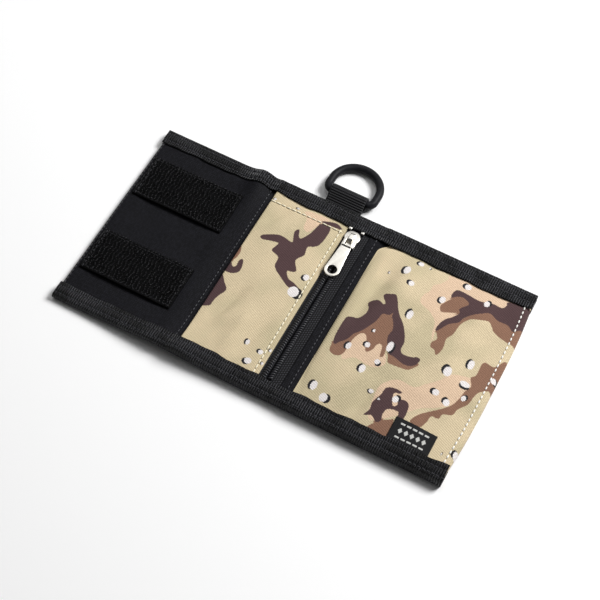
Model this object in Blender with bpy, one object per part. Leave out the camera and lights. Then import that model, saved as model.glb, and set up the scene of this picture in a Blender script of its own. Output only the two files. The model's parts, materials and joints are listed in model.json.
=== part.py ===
"""Trifold wallet lying open on its outer face: three cloth panels, a coin pocket with a coil zip,
a card pocket, a hook-and-loop flap, and a D-ring on a webbing loop.

Metres, +Z up. The long side runs along X, the note compartment opens towards +Y, and the inner face
looks up. Drawing sizes are in millimetres, measured from the lower left corner of the open wallet,
and to_world places them.
"""

from math import acos, asin, atan2, cos, degrees, hypot, pi, radians, sin

import bmesh
import bpy
from mathutils import Matrix, Vector

MM = 0.001

# open wallet
OPEN_LENGTH = 210.0
OPEN_HEIGHT = 115.0
LEFT_FOLD = 60.0
RIGHT_FOLD = 138.0
EDGE_INSET = 0.4          # panels end this far inside the bindings' ends
SEAM_INSET = 0.8          # cloth edges inside a binding stop this far from its outside
FOLD_GAP = 0.3            # slit between two panels at a fold

# cloth layers, counted upwards from the table
CLOTH = 0.4
GAP = 0.25
LAYER = CLOTH + GAP
SHELL_Z = LAYER
LINING_Z = 4 * LAYER
UNDER_ZIP_Z = 5 * LAYER
ZIP_TAPE_Z = 6 * LAYER
POCKET_Z = 7 * LAYER
CARD_POCKET_Z = 8 * LAYER
BINDING_TOP = 9 * LAYER + CLOTH
LEFT_BINDING_TOP = 5 * LAYER + CLOTH
BINDING_WIDTH = 9.0

# hook and loop tapes
TAPE_WIDTH = 25.4
TAPE_LENGTH = 51.0
TAPE_LEFT = 3.0
TAPE_LOW = 20.4
TAPE_HIGH = 70.9
HOOK_THICKNESS = 1.8
LOOP_THICKNESS = 0.4

# coin pocket and its zip
POCKET_LEFT = 67.6
POCKET_RIGHT = 109.6
ZIP_X = 114.2
ZIP_TAPE_WIDTH = 9.4
ZIP_SPLIT = 1.2           # clear width between the two tapes and the two coils
COIL_WIDTH = 2.3
COIL_HEIGHT = 1.45
FACING_LEFT = 121.6
STOP_SIZE = (1.8, 1.6, 1.6)
STOP_OUT = 3.4
STOP_GAP = 0.3

# slider and pull tab
SLIDER_Y = 98.8
SLIDER_LENGTH = 10.0
SLIDER_WIDE = 8.4
SLIDER_NARROW = 6.8
SLIDER_NOSE = 4.4
SLIDER_WAIST_Y = SLIDER_Y - 0.5
SHOULDER = (0.8, 3.0)
SLIDER_PLATE = 0.6
SLIDER_POST = (0.6, 3.4)
POST_SETBACK = 1.6        # from the slider's top end to its wedge post
FLANGE = 0.5
CROWN_WIDTH = 2.6
CROWN_LENGTH = 6.2
CROWN_WALL = 0.6
CROWN_BEVEL = 0.3
TUNNEL_HEIGHT = 1.2
TUNNEL_LENGTH = 2.6
BAIL = 0.7
BAIL_GAP = 0.35
PULL_LENGTH = 25.4
PULL_PLATE = 1.1
PULL_NECK = 5.4
PULL_WIDE = 8.0
PULL_STRAIGHT = 1.5
PULL_HOLE = 4.8
PULL_FRAME = 5.2

# card pocket
CARD_MOUTH = 128.4
LABEL_LEFT = 177.4
LABEL_WIDTH = 21.4
LABEL_TOP = 20.6
LABEL_THICKNESS = 0.3

# D-ring and its webbing
RING_X = 101.0
RING_WIRE = 4.3
RING_WIDTH = 30.2
RING_HEIGHT = 24.6        # outside, from the bar to the top of the bow
RING_CORNER = 3.4
RING_BAR_Y = 122.8
WEBBING_WIDTH = 20.0
WEBBING = 1.0
WEBBING_CLEAR = 0.3
WEBBING_ROOT = 0.9        # half thickness where both strands leave the seam
WEBBING_PIVOT_Z = 2.5
WEBBING_PINCH = 1.6       # the strands part this far from the pivot

LOOP_RADIUS = RING_WIRE / 2 + WEBBING_CLEAR + WEBBING
WEBBING_PIVOT_Y = OPEN_HEIGHT + GAP + WEBBING_ROOT
RING_BAR_Z = LOOP_RADIUS + 0.1
RING_DROOP = asin((RING_BAR_Z - RING_WIRE / 2) / (RING_HEIGHT - RING_WIRE))
RING_REACH = RING_BAR_Y + (RING_HEIGHT - RING_WIRE) * cos(RING_DROOP) + RING_WIRE / 2

COIL_Z = ZIP_TAPE_Z + CLOTH + GAP
SLIDER_TOP_Z = COIL_Z + COIL_HEIGHT + GAP
TUNNEL_Z = SLIDER_TOP_Z + SLIDER_PLATE
BAIL_Z = TUNNEL_Z + TUNNEL_HEIGHT / 2
CROWN_TOP = TUNNEL_Z + TUNNEL_HEIGHT + CROWN_WALL

# fold axes: high enough for what lies between the closed panels
CLOSED_SHORT = 0.5        # degrees by which a closed panel stops short of a half turn
POCKET_SWELL = 2.6        # room for the card pocket's front, which swells when it holds cards
RIGHT_AXIS_Z = (CROWN_TOP + GAP + POCKET_SWELL + CARD_POCKET_Z + CLOTH) / 2
HOOK_TOP = LINING_Z + CLOTH + GAP + HOOK_THICKNESS
CLOSED_RISE = (OPEN_LENGTH - RIGHT_FOLD) * sin(radians(CLOSED_SHORT))
LEFT_AXIS_Z = RIGHT_AXIS_Z + (GAP + HOOK_TOP + CLOSED_RISE) / 2

CAMO_SAND = (0.68, 0.58, 0.38)
LINING_BLACK = (0.018, 0.018, 0.022)
BINDING_BLACK = (0.008, 0.008, 0.009)
TAPE_BLACK = (0.005, 0.005, 0.005)
NICKEL = (0.72, 0.70, 0.66)
RING_GREY = (0.045, 0.045, 0.05)


def to_world(x, y, z):
    """Millimetres from the lower left corner to metres from the foot of the object's box."""
    return Vector(((x - OPEN_LENGTH / 2) * MM, (y - RING_REACH / 2) * MM, z * MM))


def clear_scene():
    for obj in list(bpy.data.objects):
        bpy.data.objects.remove(obj, do_unlink=True)


def material(name, colour, roughness, metallic=0.0):
    found = bpy.data.materials.get(name)
    if found:
        return found
    made = bpy.data.materials.new(name)
    made.use_nodes = True
    shader = made.node_tree.nodes["Principled BSDF"]
    shader.inputs["Base Color"].default_value = (*colour, 1.0)
    shader.inputs["Roughness"].default_value = roughness
    shader.inputs["Metallic"].default_value = metallic
    return made


def camo():
    return material("camouflage_canvas", CAMO_SAND, 0.85)


def lining():
    return material("black_lining", LINING_BLACK, 0.8)


def grosgrain():
    return material("black_grosgrain", BINDING_BLACK, 0.75)


def tape_black(name):
    return material(name, TAPE_BLACK, 0.95)


def nickel():
    return material("nickel_plate", NICKEL, 0.25, 1.0)


def add_object(name, bm, surface, pivot=None):
    """Link a finished bmesh, drawn in millimetres, with its origin on pivot."""
    centre = to_world(*pivot) if pivot else Vector((0.0, 0.0, 0.0))
    for vert in bm.verts:
        vert.co = to_world(*vert.co) - centre
    bmesh.ops.recalc_face_normals(bm, faces=bm.faces)
    mesh = bpy.data.meshes.new(name)
    bm.to_mesh(mesh)
    bm.free()
    mesh.materials.append(surface)
    obj = bpy.data.objects.new(name, mesh)
    obj.location = centre
    bpy.context.scene.collection.objects.link(obj)
    return obj


def smooth(obj, angle=40.0):
    obj.data.shade_smooth()
    obj.data.set_sharp_from_angle(angle=radians(angle))


def add_box(bm, low, high):
    size = [b - a for a, b in zip(low, high)]
    middle = [(a + b) / 2 for a, b in zip(low, high)]
    place = Matrix.Translation(middle) @ Matrix.Diagonal((*size, 1.0))
    bmesh.ops.create_cube(bm, size=1.0, matrix=place)


def add_prism(bm, outline, axis, low, high):
    """Extrude a closed outline of (u, v) points along an axis; u and v are the other two, in order."""
    def place(u, v, w):
        return {"X": (w, u, v), "Y": (u, w, v), "Z": (u, v, w)}[axis]

    first = [bm.verts.new(place(u, v, low)) for u, v in outline]
    last = [bm.verts.new(place(u, v, high)) for u, v in outline]
    bm.faces.new(first)
    bm.faces.new(list(reversed(last)))
    count = len(outline)
    for i in range(count):
        j = (i + 1) % count
        bm.faces.new((first[j], first[i], last[i], last[j]))


def arc(centre, radius, start, end, steps):
    """Points on a circle from start to end, in degrees, both included."""
    turns = [radians(start + (end - start) * i / steps) for i in range(steps + 1)]
    return [(centre[0] + radius * cos(t), centre[1] + radius * sin(t)) for t in turns]


def slab(name, surface, low, high):
    bm = bmesh.new()
    add_box(bm, low, high)
    return add_object(name, bm, surface)


def solid(name, surface, outline, axis, low, high):
    bm = bmesh.new()
    add_prism(bm, outline, axis, low, high)
    return add_object(name, bm, surface)


def boolean(obj, other, operation):
    step = obj.modifiers.new(operation.lower(), "BOOLEAN")
    step.operation = operation
    step.solver = "EXACT"
    step.object = other
    other.hide_render = True
    other.display_type = "WIRE"


# panels: (name, x from, x to, top of the binding)
PANELS = (
    ("left", EDGE_INSET, LEFT_FOLD - FOLD_GAP / 2, LEFT_BINDING_TOP),
    ("middle", LEFT_FOLD + FOLD_GAP / 2, RIGHT_FOLD - FOLD_GAP / 2, BINDING_TOP),
    ("right", RIGHT_FOLD + FOLD_GAP / 2, OPEN_LENGTH - EDGE_INSET, BINDING_TOP),
)


def make_shell():
    low, high = SEAM_INSET, OPEN_HEIGHT - SEAM_INSET
    for name, x0, x1, _ in PANELS:
        slab(f"outer_shell_{name}", camo(), (x0, low, SHELL_Z), (x1, high, SHELL_Z + CLOTH))


def add_end_wall(obj, x0, x1, top):
    """Turn a panel's end down to the layer above the shell, between the bindings."""
    low = BINDING_WIDTH + GAP
    wall = slab(
        f"{obj.name}_turned_end", obj.data.materials[0],
        (x0, low, SHELL_Z + LAYER), (x1, OPEN_HEIGHT - low, top - CLOTH / 2),
    )
    boolean(obj, wall, "UNION")


def make_lining():
    """Inner wall; its left end turns down to the shell and closes the note compartment."""
    low, high = SEAM_INSET, OPEN_HEIGHT - SEAM_INSET
    top = LINING_Z + CLOTH
    for name, x0, x1, _ in PANELS:
        end = x1 - LAYER if name == "right" else x1
        wall = slab(f"lining_{name}", lining(), (x0, low, LINING_Z), (end, high, top))
        if name == "left":
            add_end_wall(wall, x0, x0 + CLOTH, top)


def binding_outline(edge, inward, low, high):
    """U section of a folded tape round an edge; inward is +1 or -1 along Y."""
    lip = edge + inward * BINDING_WIDTH
    wall = edge + inward * CLOTH
    return [
        (edge, low), (lip, low), (lip, low + CLOTH), (wall, low + CLOTH),
        (wall, high - CLOTH), (lip, high - CLOTH), (lip, high), (edge, high),
    ]


def make_bindings():
    rear_top = 2 * LAYER + CLOTH
    front_low = 3 * LAYER
    for name, x0, x1, top in PANELS:
        if name == "left":
            x0 = 0.0
        if name == "right":
            x1 = OPEN_LENGTH
        rows = (
            ("rear", OPEN_HEIGHT, -1, 0.0, rear_top),
            ("front", OPEN_HEIGHT, -1, front_low, top),
            ("bottom", 0.0, 1, 0.0, top),
        )
        for row, edge, inward, low, high in rows:
            outline = binding_outline(edge, inward, low, high)
            solid(f"{row}_binding_{name}", grosgrain(), outline, "X", x0, x1)


def make_hook_and_loop():
    """Hook tapes on the flap, and the loop tapes they meet on the back of the right panel when closed."""
    closed_far = 2 * LEFT_FOLD - TAPE_LEFT
    loop_left = 2 * RIGHT_FOLD - closed_far
    low_z = LINING_Z + LAYER
    for name, y in (("upper", TAPE_HIGH), ("lower", TAPE_LOW)):
        slab(
            f"hook_tape_{name}", tape_black("black_hook_tape"),
            (TAPE_LEFT, y, low_z),
            (TAPE_LEFT + TAPE_LENGTH, y + TAPE_WIDTH, low_z + HOOK_THICKNESS),
        )
        slab(
            f"loop_tape_{name}", tape_black("black_loop_tape"),
            (loop_left, y, 0.0),
            (OPEN_LENGTH - TAPE_LEFT, y + TAPE_WIDTH, LOOP_THICKNESS),
        )


def make_coin_pocket():
    low, high = SEAM_INSET, OPEN_HEIGHT - SEAM_INSET
    slab("zip_pocket_front", camo(), (POCKET_LEFT, low, POCKET_Z), (POCKET_RIGHT, high, POCKET_Z + CLOTH))
    slab(
        "zip_facing", lining(),
        (FACING_LEFT, low, POCKET_Z), (RIGHT_FOLD - FOLD_GAP / 2, high, POCKET_Z + CLOTH),
    )
    zip_black = material("black_zip_tape", LINING_BLACK, 0.8)
    for side, name in ((-1, "left"), (1, "right")):
        inner = ZIP_X + side * ZIP_SPLIT / 2
        outer = ZIP_X + side * ZIP_TAPE_WIDTH
        x0, x1 = sorted((inner, outer))
        slab(f"zip_tape_{name}", zip_black, (x0, low, ZIP_TAPE_Z), (x1, high, ZIP_TAPE_Z + CLOTH))
        x0, x1 = sorted((inner, inner + side * COIL_WIDTH))
        first = BINDING_WIDTH + GAP
        last = SLIDER_Y + SLIDER_LENGTH / 2 - GAP
        slab(
            f"zip_coil_{name}", material("black_nylon_coil", TAPE_BLACK, 0.45),
            (x0, first, COIL_Z), (x1, last, COIL_Z + COIL_HEIGHT),
        )
        stop_x = ZIP_X + side * STOP_OUT
        stop_y = SLIDER_Y + SLIDER_LENGTH / 2 + STOP_GAP
        half = STOP_SIZE[0] / 2
        slab(
            f"zip_top_stop_{name}", nickel(),
            (stop_x - half, stop_y, COIL_Z),
            (stop_x + half, stop_y + STOP_SIZE[1], COIL_Z + STOP_SIZE[2]),
        )


def mirrored(points):
    return [(2 * ZIP_X - x, y) for x, y in reversed(points)]


def slider_plan():
    """Plan of the slider's plates: wide shoulders at the top, narrow at the bottom."""
    top = SLIDER_Y + SLIDER_LENGTH / 2
    low = SLIDER_Y - SLIDER_LENGTH / 2
    wide, narrow, nose = SLIDER_WIDE / 2, SLIDER_NARROW / 2, SLIDER_NOSE / 2
    right = [
        (ZIP_X + narrow, low), (ZIP_X + narrow, SLIDER_WAIST_Y), (ZIP_X + wide, top - SHOULDER[1]),
        (ZIP_X + wide - SHOULDER[0], top - SHOULDER[0]), (ZIP_X + nose, top),
    ]
    return right + mirrored(right)


def crown_outline():
    """Side view of the slider from its upper plate up: an arch with a tunnel for the pull tab's bail."""
    base = SLIDER_TOP_Z + SLIDER_PLATE / 2
    roof = TUNNEL_Z + TUNNEL_HEIGHT
    half, tunnel, bevel = CROWN_LENGTH / 2, TUNNEL_LENGTH / 2, CROWN_BEVEL
    outside = [
        (half, base), (half, TUNNEL_Z + bevel), (half - 4 * bevel, CROWN_TOP - bevel / 2),
        (half - 6 * bevel, CROWN_TOP),
    ]
    inside = [(tunnel, base), (tunnel, roof - bevel), (tunnel - bevel, roof)]
    left = [(SLIDER_Y - y, z) for y, z in outside]
    right = [(SLIDER_Y + y, z) for y, z in reversed(outside)]
    under_right = [(SLIDER_Y + y, z) for y, z in inside]
    under_left = [(SLIDER_Y - y, z) for y, z in reversed(inside)]
    return left + right + under_right + under_left


def make_slider():
    """Upper and lower plate joined by the wedge post, with side flanges and the crown."""
    lower_z = UNDER_ZIP_Z
    plan = slider_plan()
    body = solid("slider_body", nickel(), plan, "Z", SLIDER_TOP_Z, SLIDER_TOP_Z + SLIDER_PLATE)
    pieces = []
    pieces.append(solid("slider_lower_plate", nickel(), plan, "Z", lower_z, lower_z + CLOTH))
    half = SLIDER_POST[0] / 2
    top = SLIDER_Y + SLIDER_LENGTH / 2 - POST_SETBACK
    pieces.append(slab(
        "slider_post", nickel(),
        (ZIP_X - half, top - SLIDER_POST[1], lower_z + CLOTH / 2),
        (ZIP_X + half, top, SLIDER_TOP_Z + SLIDER_PLATE / 2),
    ))
    flange_low = ZIP_TAPE_Z + CLOTH + GAP
    for side in (-1, 1):
        edge = ZIP_X + side * SLIDER_NARROW / 2
        x0, x1 = sorted((edge - side * FLANGE, edge))
        pieces.append(slab(
            "slider_flange", nickel(),
            (x0, SLIDER_Y - SLIDER_LENGTH / 2, flange_low),
            (x1, SLIDER_WAIST_Y, SLIDER_TOP_Z + SLIDER_PLATE / 2),
        ))
    pieces.append(solid(
        "slider_crown", nickel(), crown_outline(), "X", ZIP_X - CROWN_WIDTH / 2, ZIP_X + CROWN_WIDTH / 2,
    ))
    for piece in pieces:
        boolean(body, piece, "UNION")
    return body


def pull_plate_outline():
    """Plan of the pull tab's plate: a neck that widens to a round end."""
    end = PULL_WIDE / 2
    centre_y = SLIDER_Y - PULL_LENGTH + end
    round_end = arc((ZIP_X, centre_y), end, 180, 360, 14)
    side = [(ZIP_X + end, centre_y + PULL_STRAIGHT), (ZIP_X + PULL_NECK / 2, SLIDER_Y - PULL_FRAME - BAIL)]
    return round_end + side + mirrored(side)


def pull_frame_outline():
    """Plan of the thin frame round the crown, which ends in the bail."""
    head = CROWN_WIDTH / 2 + BAIL_GAP + BAIL
    low = SLIDER_Y - PULL_FRAME - 2 * BAIL
    side = [(ZIP_X + head, low), (ZIP_X + head, SLIDER_Y + BAIL / 2)]
    return side + mirrored(side)


def make_pull_tab():
    """The tab lies along the zip; its bail passes through the crown and is the swing axis."""
    pivot = (ZIP_X, SLIDER_Y, BAIL_Z)
    high = BAIL_Z + BAIL / 2
    bm = bmesh.new()
    add_prism(bm, pull_plate_outline(), "Z", high - PULL_PLATE, high)
    tab = add_object("pull_tab", bm, nickel(), pivot)
    boolean(tab, solid("pull_frame", nickel(), pull_frame_outline(), "Z", high - BAIL, high), "UNION")
    inner = CROWN_WIDTH / 2 + BAIL_GAP
    window = slab(
        "pull_window", nickel(),
        (ZIP_X - inner, SLIDER_Y - PULL_FRAME, BAIL_Z - PULL_PLATE),
        (ZIP_X + inner, SLIDER_Y - BAIL / 2, BAIL_Z + PULL_PLATE),
    )
    boolean(tab, window, "DIFFERENCE")
    hole_y = SLIDER_Y - PULL_LENGTH + PULL_WIDE / 2
    hole = solid(
        "pull_hole", nickel(), arc((ZIP_X, hole_y), PULL_HOLE / 2, 0, 345, 23),
        "Z", BAIL_Z - PULL_PLATE, BAIL_Z + PULL_PLATE,
    )
    boolean(tab, hole, "DIFFERENCE")
    return tab


def make_card_pocket():
    """Shell cloth turned over the right end and brought back as the pocket's front, open towards the zip."""
    low, high = SEAM_INSET, OPEN_HEIGHT - SEAM_INSET
    top = CARD_POCKET_Z + CLOTH
    end = OPEN_LENGTH - EDGE_INSET
    front = slab(
        "card_pocket_front", camo(), (RIGHT_FOLD + FOLD_GAP / 2, low, CARD_POCKET_Z), (end, high, top),
    )
    add_end_wall(front, end - CLOTH, end, top)
    slab(
        "card_pocket_mouth", camo(),
        (CARD_MOUTH, low, CARD_POCKET_Z), (RIGHT_FOLD - FOLD_GAP / 2, high, top),
    )
    slab(
        "side_label", material("black_woven_label", BINDING_BLACK, 0.7),
        (LABEL_LEFT, BINDING_WIDTH + GAP, top + GAP),
        (LABEL_LEFT + LABEL_WIDTH, LABEL_TOP, top + GAP + LABEL_THICKNESS),
    )


def make_webbing_loop():
    """Both strands leave the top seam together, part, and go round the ring's bar."""
    pivot = (WEBBING_PIVOT_Y, WEBBING_PIVOT_Z)
    bar = (RING_BAR_Y, RING_BAR_Z)
    dy, dz = bar[0] - pivot[0], bar[1] - pivot[1]
    reach = hypot(dy, dz)
    lean = degrees(atan2(dz, dy))
    open_angle = degrees(acos((WEBBING_ROOT - LOOP_RADIUS) / reach))
    outline = arc(bar, LOOP_RADIUS, lean + open_angle, lean - open_angle, 20)
    outline += arc(pivot, WEBBING_ROOT, lean - open_angle, lean + open_angle - 360, 8)
    x0, x1 = RING_X - WEBBING_WIDTH / 2, RING_X + WEBBING_WIDTH / 2
    bm = bmesh.new()
    add_prism(bm, outline, "X", x0, x1)
    surface = material("black_webbing", BINDING_BLACK, 0.75)
    loop = add_object("webbing_loop", bm, surface, (RING_X, *pivot))
    apex = (pivot[0] + WEBBING_PINCH * dy / reach, pivot[1] + WEBBING_PINCH * dz / reach)
    eye_radius = LOOP_RADIUS - WEBBING
    eye_angle = degrees(acos(-eye_radius / (reach - WEBBING_PINCH)))
    eye_outline = [apex] + arc(bar, eye_radius, lean + eye_angle, lean - eye_angle, 18)
    eye = solid("webbing_eye", surface, eye_outline, "X", x0 - WEBBING, x1 + WEBBING)
    boolean(loop, eye, "DIFFERENCE")
    smooth(loop)
    return loop


def ring_path():
    """Centre line of the D from the bar round the bow, in the ring's own plane, as (across, out) points."""
    half = (RING_WIDTH - RING_WIRE) / 2
    bow_y = RING_HEIGHT - RING_WIRE - half
    corner = RING_CORNER
    bar = [(x, 0.0) for x in (-half + corner, -half / 3, half / 3)]
    right = arc((half - corner, corner), corner, -90, 0, 5)
    bow = arc((0.0, bow_y), half, 0, 180, 24)
    left = arc((-half + corner, corner), corner, 180, 270, 5)
    return bar + right + bow + left[:-1]


def make_ring():
    """Round-section D swept along its centre line; it droops until its bow rests on the table."""
    path = ring_path()
    sides = 12
    bm = bmesh.new()
    rings = []
    count = len(path)
    for i, (across, out) in enumerate(path):
        before, after = path[i - 1], path[(i + 1) % count]
        along = Vector((after[0] - before[0], after[1] - before[1], 0.0)).normalized()
        side = Vector((along.y, -along.x, 0.0))
        ring = []
        for k in range(sides):
            turn = 2 * pi * k / sides
            spoke = cos(turn) * side + sin(turn) * Vector((0, 0, 1))
            point = Vector((across, out, 0.0)) + RING_WIRE / 2 * spoke
            dropped = Matrix.Rotation(-RING_DROOP, 3, "X") @ point
            ring.append(bm.verts.new((RING_X + dropped.x, RING_BAR_Y + dropped.y, RING_BAR_Z + dropped.z)))
        rings.append(ring)
    for i in range(count):
        a, b = rings[i], rings[(i + 1) % count]
        for k in range(sides):
            m = (k + 1) % sides
            bm.faces.new((a[k], a[m], b[m], b[k]))
    pivot = (RING_X, RING_BAR_Y, RING_BAR_Z)
    ring = add_object("d_ring", bm, material("grey_moulded_ring", RING_GREY, 0.4), pivot)
    smooth(ring)
    return ring


def parent_keeping_place(child, parent):
    child.parent = parent
    child.matrix_parent_inverse = Matrix.Translation(-Vector(parent.location))


def hang_on_axis(name, x, z, pieces):
    """Parent a panel's pieces to an empty on its fold axis, which runs along Y."""
    axis = bpy.data.objects.new(name, None)
    axis.location = to_world(x, OPEN_HEIGHT / 2, z)
    bpy.context.scene.collection.objects.link(axis)
    for piece in pieces:
        parent_keeping_place(piece, axis)


def main():
    clear_scene()
    make_shell()
    make_lining()
    make_bindings()
    make_hook_and_loop()
    make_coin_pocket()
    slider = make_slider()
    tab = make_pull_tab()
    parent_keeping_place(tab, slider)
    make_card_pocket()
    loop = make_webbing_loop()
    ring = make_ring()
    parent_keeping_place(ring, loop)
    solids = [obj for obj in bpy.data.objects if obj.type == "MESH" and not obj.parent]
    left = [obj for obj in solids if obj.name.endswith("_left") and "zip" not in obj.name]
    left += [obj for obj in solids if obj.name.startswith("hook_tape")]
    right = [obj for obj in solids if obj.name.endswith("_right") and "zip" not in obj.name]
    right += [obj for obj in solids if obj.name.startswith(("loop_tape", "card_pocket_front", "side_label"))]
    hang_on_axis("left_fold_axis", LEFT_FOLD, LEFT_AXIS_Z, left)
    hang_on_axis("right_fold_axis", RIGHT_FOLD, RIGHT_AXIS_Z, right)


main()
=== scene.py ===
"""Trifold wallet: cloth, bindings, zip, hook tape, stitches and D-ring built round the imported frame.

Sizes are in millimetres, measured from the lower left corner of the open wallet, until to_frame
turns them into metres in the frame's own axes. The inner face looks up.
"""

import json
from math import asin, atan2, cos, hypot, pi, radians, sin

import bmesh
import bpy
import numpy as np
from bpy.props import FloatProperty, FloatVectorProperty, PointerProperty
from mathutils import Matrix, Vector


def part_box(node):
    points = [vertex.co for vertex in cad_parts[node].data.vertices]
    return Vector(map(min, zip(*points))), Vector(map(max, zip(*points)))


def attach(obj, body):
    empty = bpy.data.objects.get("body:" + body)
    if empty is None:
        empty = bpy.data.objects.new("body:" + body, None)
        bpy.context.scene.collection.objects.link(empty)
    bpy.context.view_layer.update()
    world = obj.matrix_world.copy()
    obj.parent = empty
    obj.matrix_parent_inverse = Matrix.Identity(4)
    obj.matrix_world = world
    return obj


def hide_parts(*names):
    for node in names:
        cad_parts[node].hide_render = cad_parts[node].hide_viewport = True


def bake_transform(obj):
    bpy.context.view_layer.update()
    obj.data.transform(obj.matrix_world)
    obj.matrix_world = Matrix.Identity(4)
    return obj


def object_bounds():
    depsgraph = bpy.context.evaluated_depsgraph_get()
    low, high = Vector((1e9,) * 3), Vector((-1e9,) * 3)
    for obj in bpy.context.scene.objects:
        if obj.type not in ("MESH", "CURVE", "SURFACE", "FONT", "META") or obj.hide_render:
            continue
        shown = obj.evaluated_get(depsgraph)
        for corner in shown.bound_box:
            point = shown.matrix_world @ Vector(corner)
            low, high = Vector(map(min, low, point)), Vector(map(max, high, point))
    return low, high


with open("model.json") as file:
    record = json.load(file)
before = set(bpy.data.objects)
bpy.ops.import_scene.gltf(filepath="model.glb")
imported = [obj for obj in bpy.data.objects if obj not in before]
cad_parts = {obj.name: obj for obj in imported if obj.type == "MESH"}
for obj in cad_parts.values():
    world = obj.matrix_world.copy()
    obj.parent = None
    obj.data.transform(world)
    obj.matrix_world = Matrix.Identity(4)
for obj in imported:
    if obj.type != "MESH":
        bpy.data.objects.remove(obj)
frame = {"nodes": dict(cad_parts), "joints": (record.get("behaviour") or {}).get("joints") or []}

bl_info = {
    "name": "Trifold wallet",
    "version": (1, 0, 0),
    "blender": (4, 5, 0),
    "location": "View3D > Sidebar > Wallet",
    "description": "Builds a cloth trifold wallet with a coin zip, a card pocket and a D-ring",
    "category": "Add Mesh",
}

MM = 0.001
CAD_BOX = [list(corner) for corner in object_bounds()]
CORNER = np.array([CAD_BOX[0][0], CAD_BOX[0][1], 0.0])
JOINTS = {joint["name"]: joint for joint in frame["joints"]}


def to_frame(points):
    """Millimetres from the wallet's corner to metres in the frame."""
    return np.asarray(points, float) * MM + CORNER


def from_frame(point):
    return (np.asarray(point, float) - CORNER) / MM


def span(node):
    """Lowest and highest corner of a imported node, in millimetres."""
    low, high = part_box(node)
    return from_frame(low), from_frame(high)


def joint_at(name):
    return from_frame(JOINTS[name]["pos_m"])


LENGTH = span("bottom_binding_right")[1][0]
HEIGHT = span("front_binding_middle")[1][1]
LEFT_FOLD = joint_at("left_fold")[0]
RIGHT_FOLD = joint_at("right_fold")[0]
SPLIT = (LEFT_FOLD + RIGHT_FOLD) / 2      # long strips are cut in two here, one part for each fold
POCKET_LEFT, POCKET_RIGHT = span("zip_pocket_front")[0][0], span("zip_pocket_front")[1][0]
FACING_LEFT = span("zip_facing")[0][0]
MOUTH = span("card_pocket_mouth")[0][0]
CARD_END = span("card_pocket_front")[1][0]
ZIP_X = joint_at("pull_tab_swing")[0]
SEAM = span("zip_pocket_front")[0][1]

CLOTH_LOW, CLOTH_HIGH = SEAM, HEIGHT - SEAM
HELD = 7.0                # the bindings press the cloth flat as far in as this

# height of each layer's upper face
SHELL_TOP = span("outer_shell_left")[1][2]
LINING_TOP = span("lining_left")[1][2]
TAPE_TOP = span("zip_tape_left")[1][2]
FRONT_TOP = span("zip_pocket_front")[1][2]
CARD_TOP = span("card_pocket_mouth")[1][2]
CLOTH = LINING_TOP - span("lining_middle")[0][2]


class WalletCloth(bpy.types.PropertyGroup):
    """Sizes and colours of the cloth, the bindings and the thread."""
    card_puff: FloatProperty(
        name="Card pocket puff", description="How far the card pocket's front stands up in the middle",
        default=2.3 * MM, min=0.0, max=6.0 * MM, unit="LENGTH")
    coin_puff: FloatProperty(
        name="Coin pocket puff", description="How far the coin pocket's front stands up in the middle",
        default=1.5 * MM, min=0.0, max=4.0 * MM, unit="LENGTH")
    fold_rise: FloatProperty(
        name="Fold rise", description="Height of the kink at the upper end of the left fold",
        default=3.1 * MM, min=0.0, max=6.0 * MM, unit="LENGTH")
    binding_width: FloatProperty(
        name="Binding width", description="Width of the folded grosgrain on each face",
        default=9.0 * MM, min=6.0 * MM, max=12.0 * MM, unit="LENGTH")
    stitch_pitch: FloatProperty(
        name="Stitch pitch", description="Length of one lockstitch",
        default=2.4 * MM, min=1.5 * MM, max=4.0 * MM, unit="LENGTH")


class WalletHardware(bpy.types.PropertyGroup):
    """Sizes of the zip, the hook tape and the ring."""
    tooth_pitch: FloatProperty(
        name="Coil pitch", description="Distance between two turns of one coil",
        default=1.3 * MM, min=0.8 * MM, max=2.5 * MM, unit="LENGTH")
    hook_pitch: FloatProperty(
        name="Hook pitch", description="Distance between two hooks in a row",
        default=1.15 * MM, min=0.6 * MM, max=2.0 * MM, unit="LENGTH")
    ring_wire: FloatProperty(
        name="Ring thickness", description="Diameter of the D-ring's bar",
        default=4.3 * MM, min=3.0 * MM, max=5.0 * MM, unit="LENGTH")


class WalletStage(bpy.types.PropertyGroup):
    """Light and floor."""
    floor_tone: FloatVectorProperty(
        name="Floor colour", description="Colour of the plain floor", subtype="COLOR",
        size=3, default=(0.99, 0.99, 0.99), min=0.0, max=1.0)
    key_power: FloatProperty(
        name="Key power", description="Power of the large soft lamp above the wallet",
        default=23.6, min=0.0, unit="POWER")


def cloth_sizes():
    return bpy.context.scene.wallet_cloth


def hardware_sizes():
    return bpy.context.scene.wallet_hardware


# ---------------------------------------------------------------- surfaces


def ease(t):
    t = np.clip(t, 0.0, 1.0)
    return t * t * (3.0 - 2.0 * t)


def hump(x, centre, width):
    return np.exp(-((x - centre) / width) ** 2)


def crumple(x, y, seed, grain):
    """Soft irregular waves between -1 and 1, about grain millimetres long."""
    rng = np.random.default_rng(seed)
    total = np.zeros(np.broadcast(x, y).shape)
    for k in range(6):
        angle, phase = rng.uniform(0.0, pi), rng.uniform(0.0, 2.0 * pi)
        wave = 2.0 * pi / (grain * rng.uniform(0.6, 1.7))
        total += np.sin(wave * (x * cos(angle) + y * sin(angle)) + phase + 0.8 * np.sin(0.13 * y + k))
    return total / 6.0


def crease(x, y, start, end, width):
    """1 along a soft crease from start to end, fading to 0 over width to either side and at its ends."""
    dx, dy = end[0] - start[0], end[1] - start[1]
    t = ((x - start[0]) * dx + (y - start[1]) * dy) / (dx * dx + dy * dy)
    away = ((x - start[0]) * dy - (y - start[1]) * dx) / hypot(dx, dy)
    return np.exp(-(away / width) ** 2) * ease(2.5 * t) * ease(2.5 * (1.0 - t))


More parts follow.
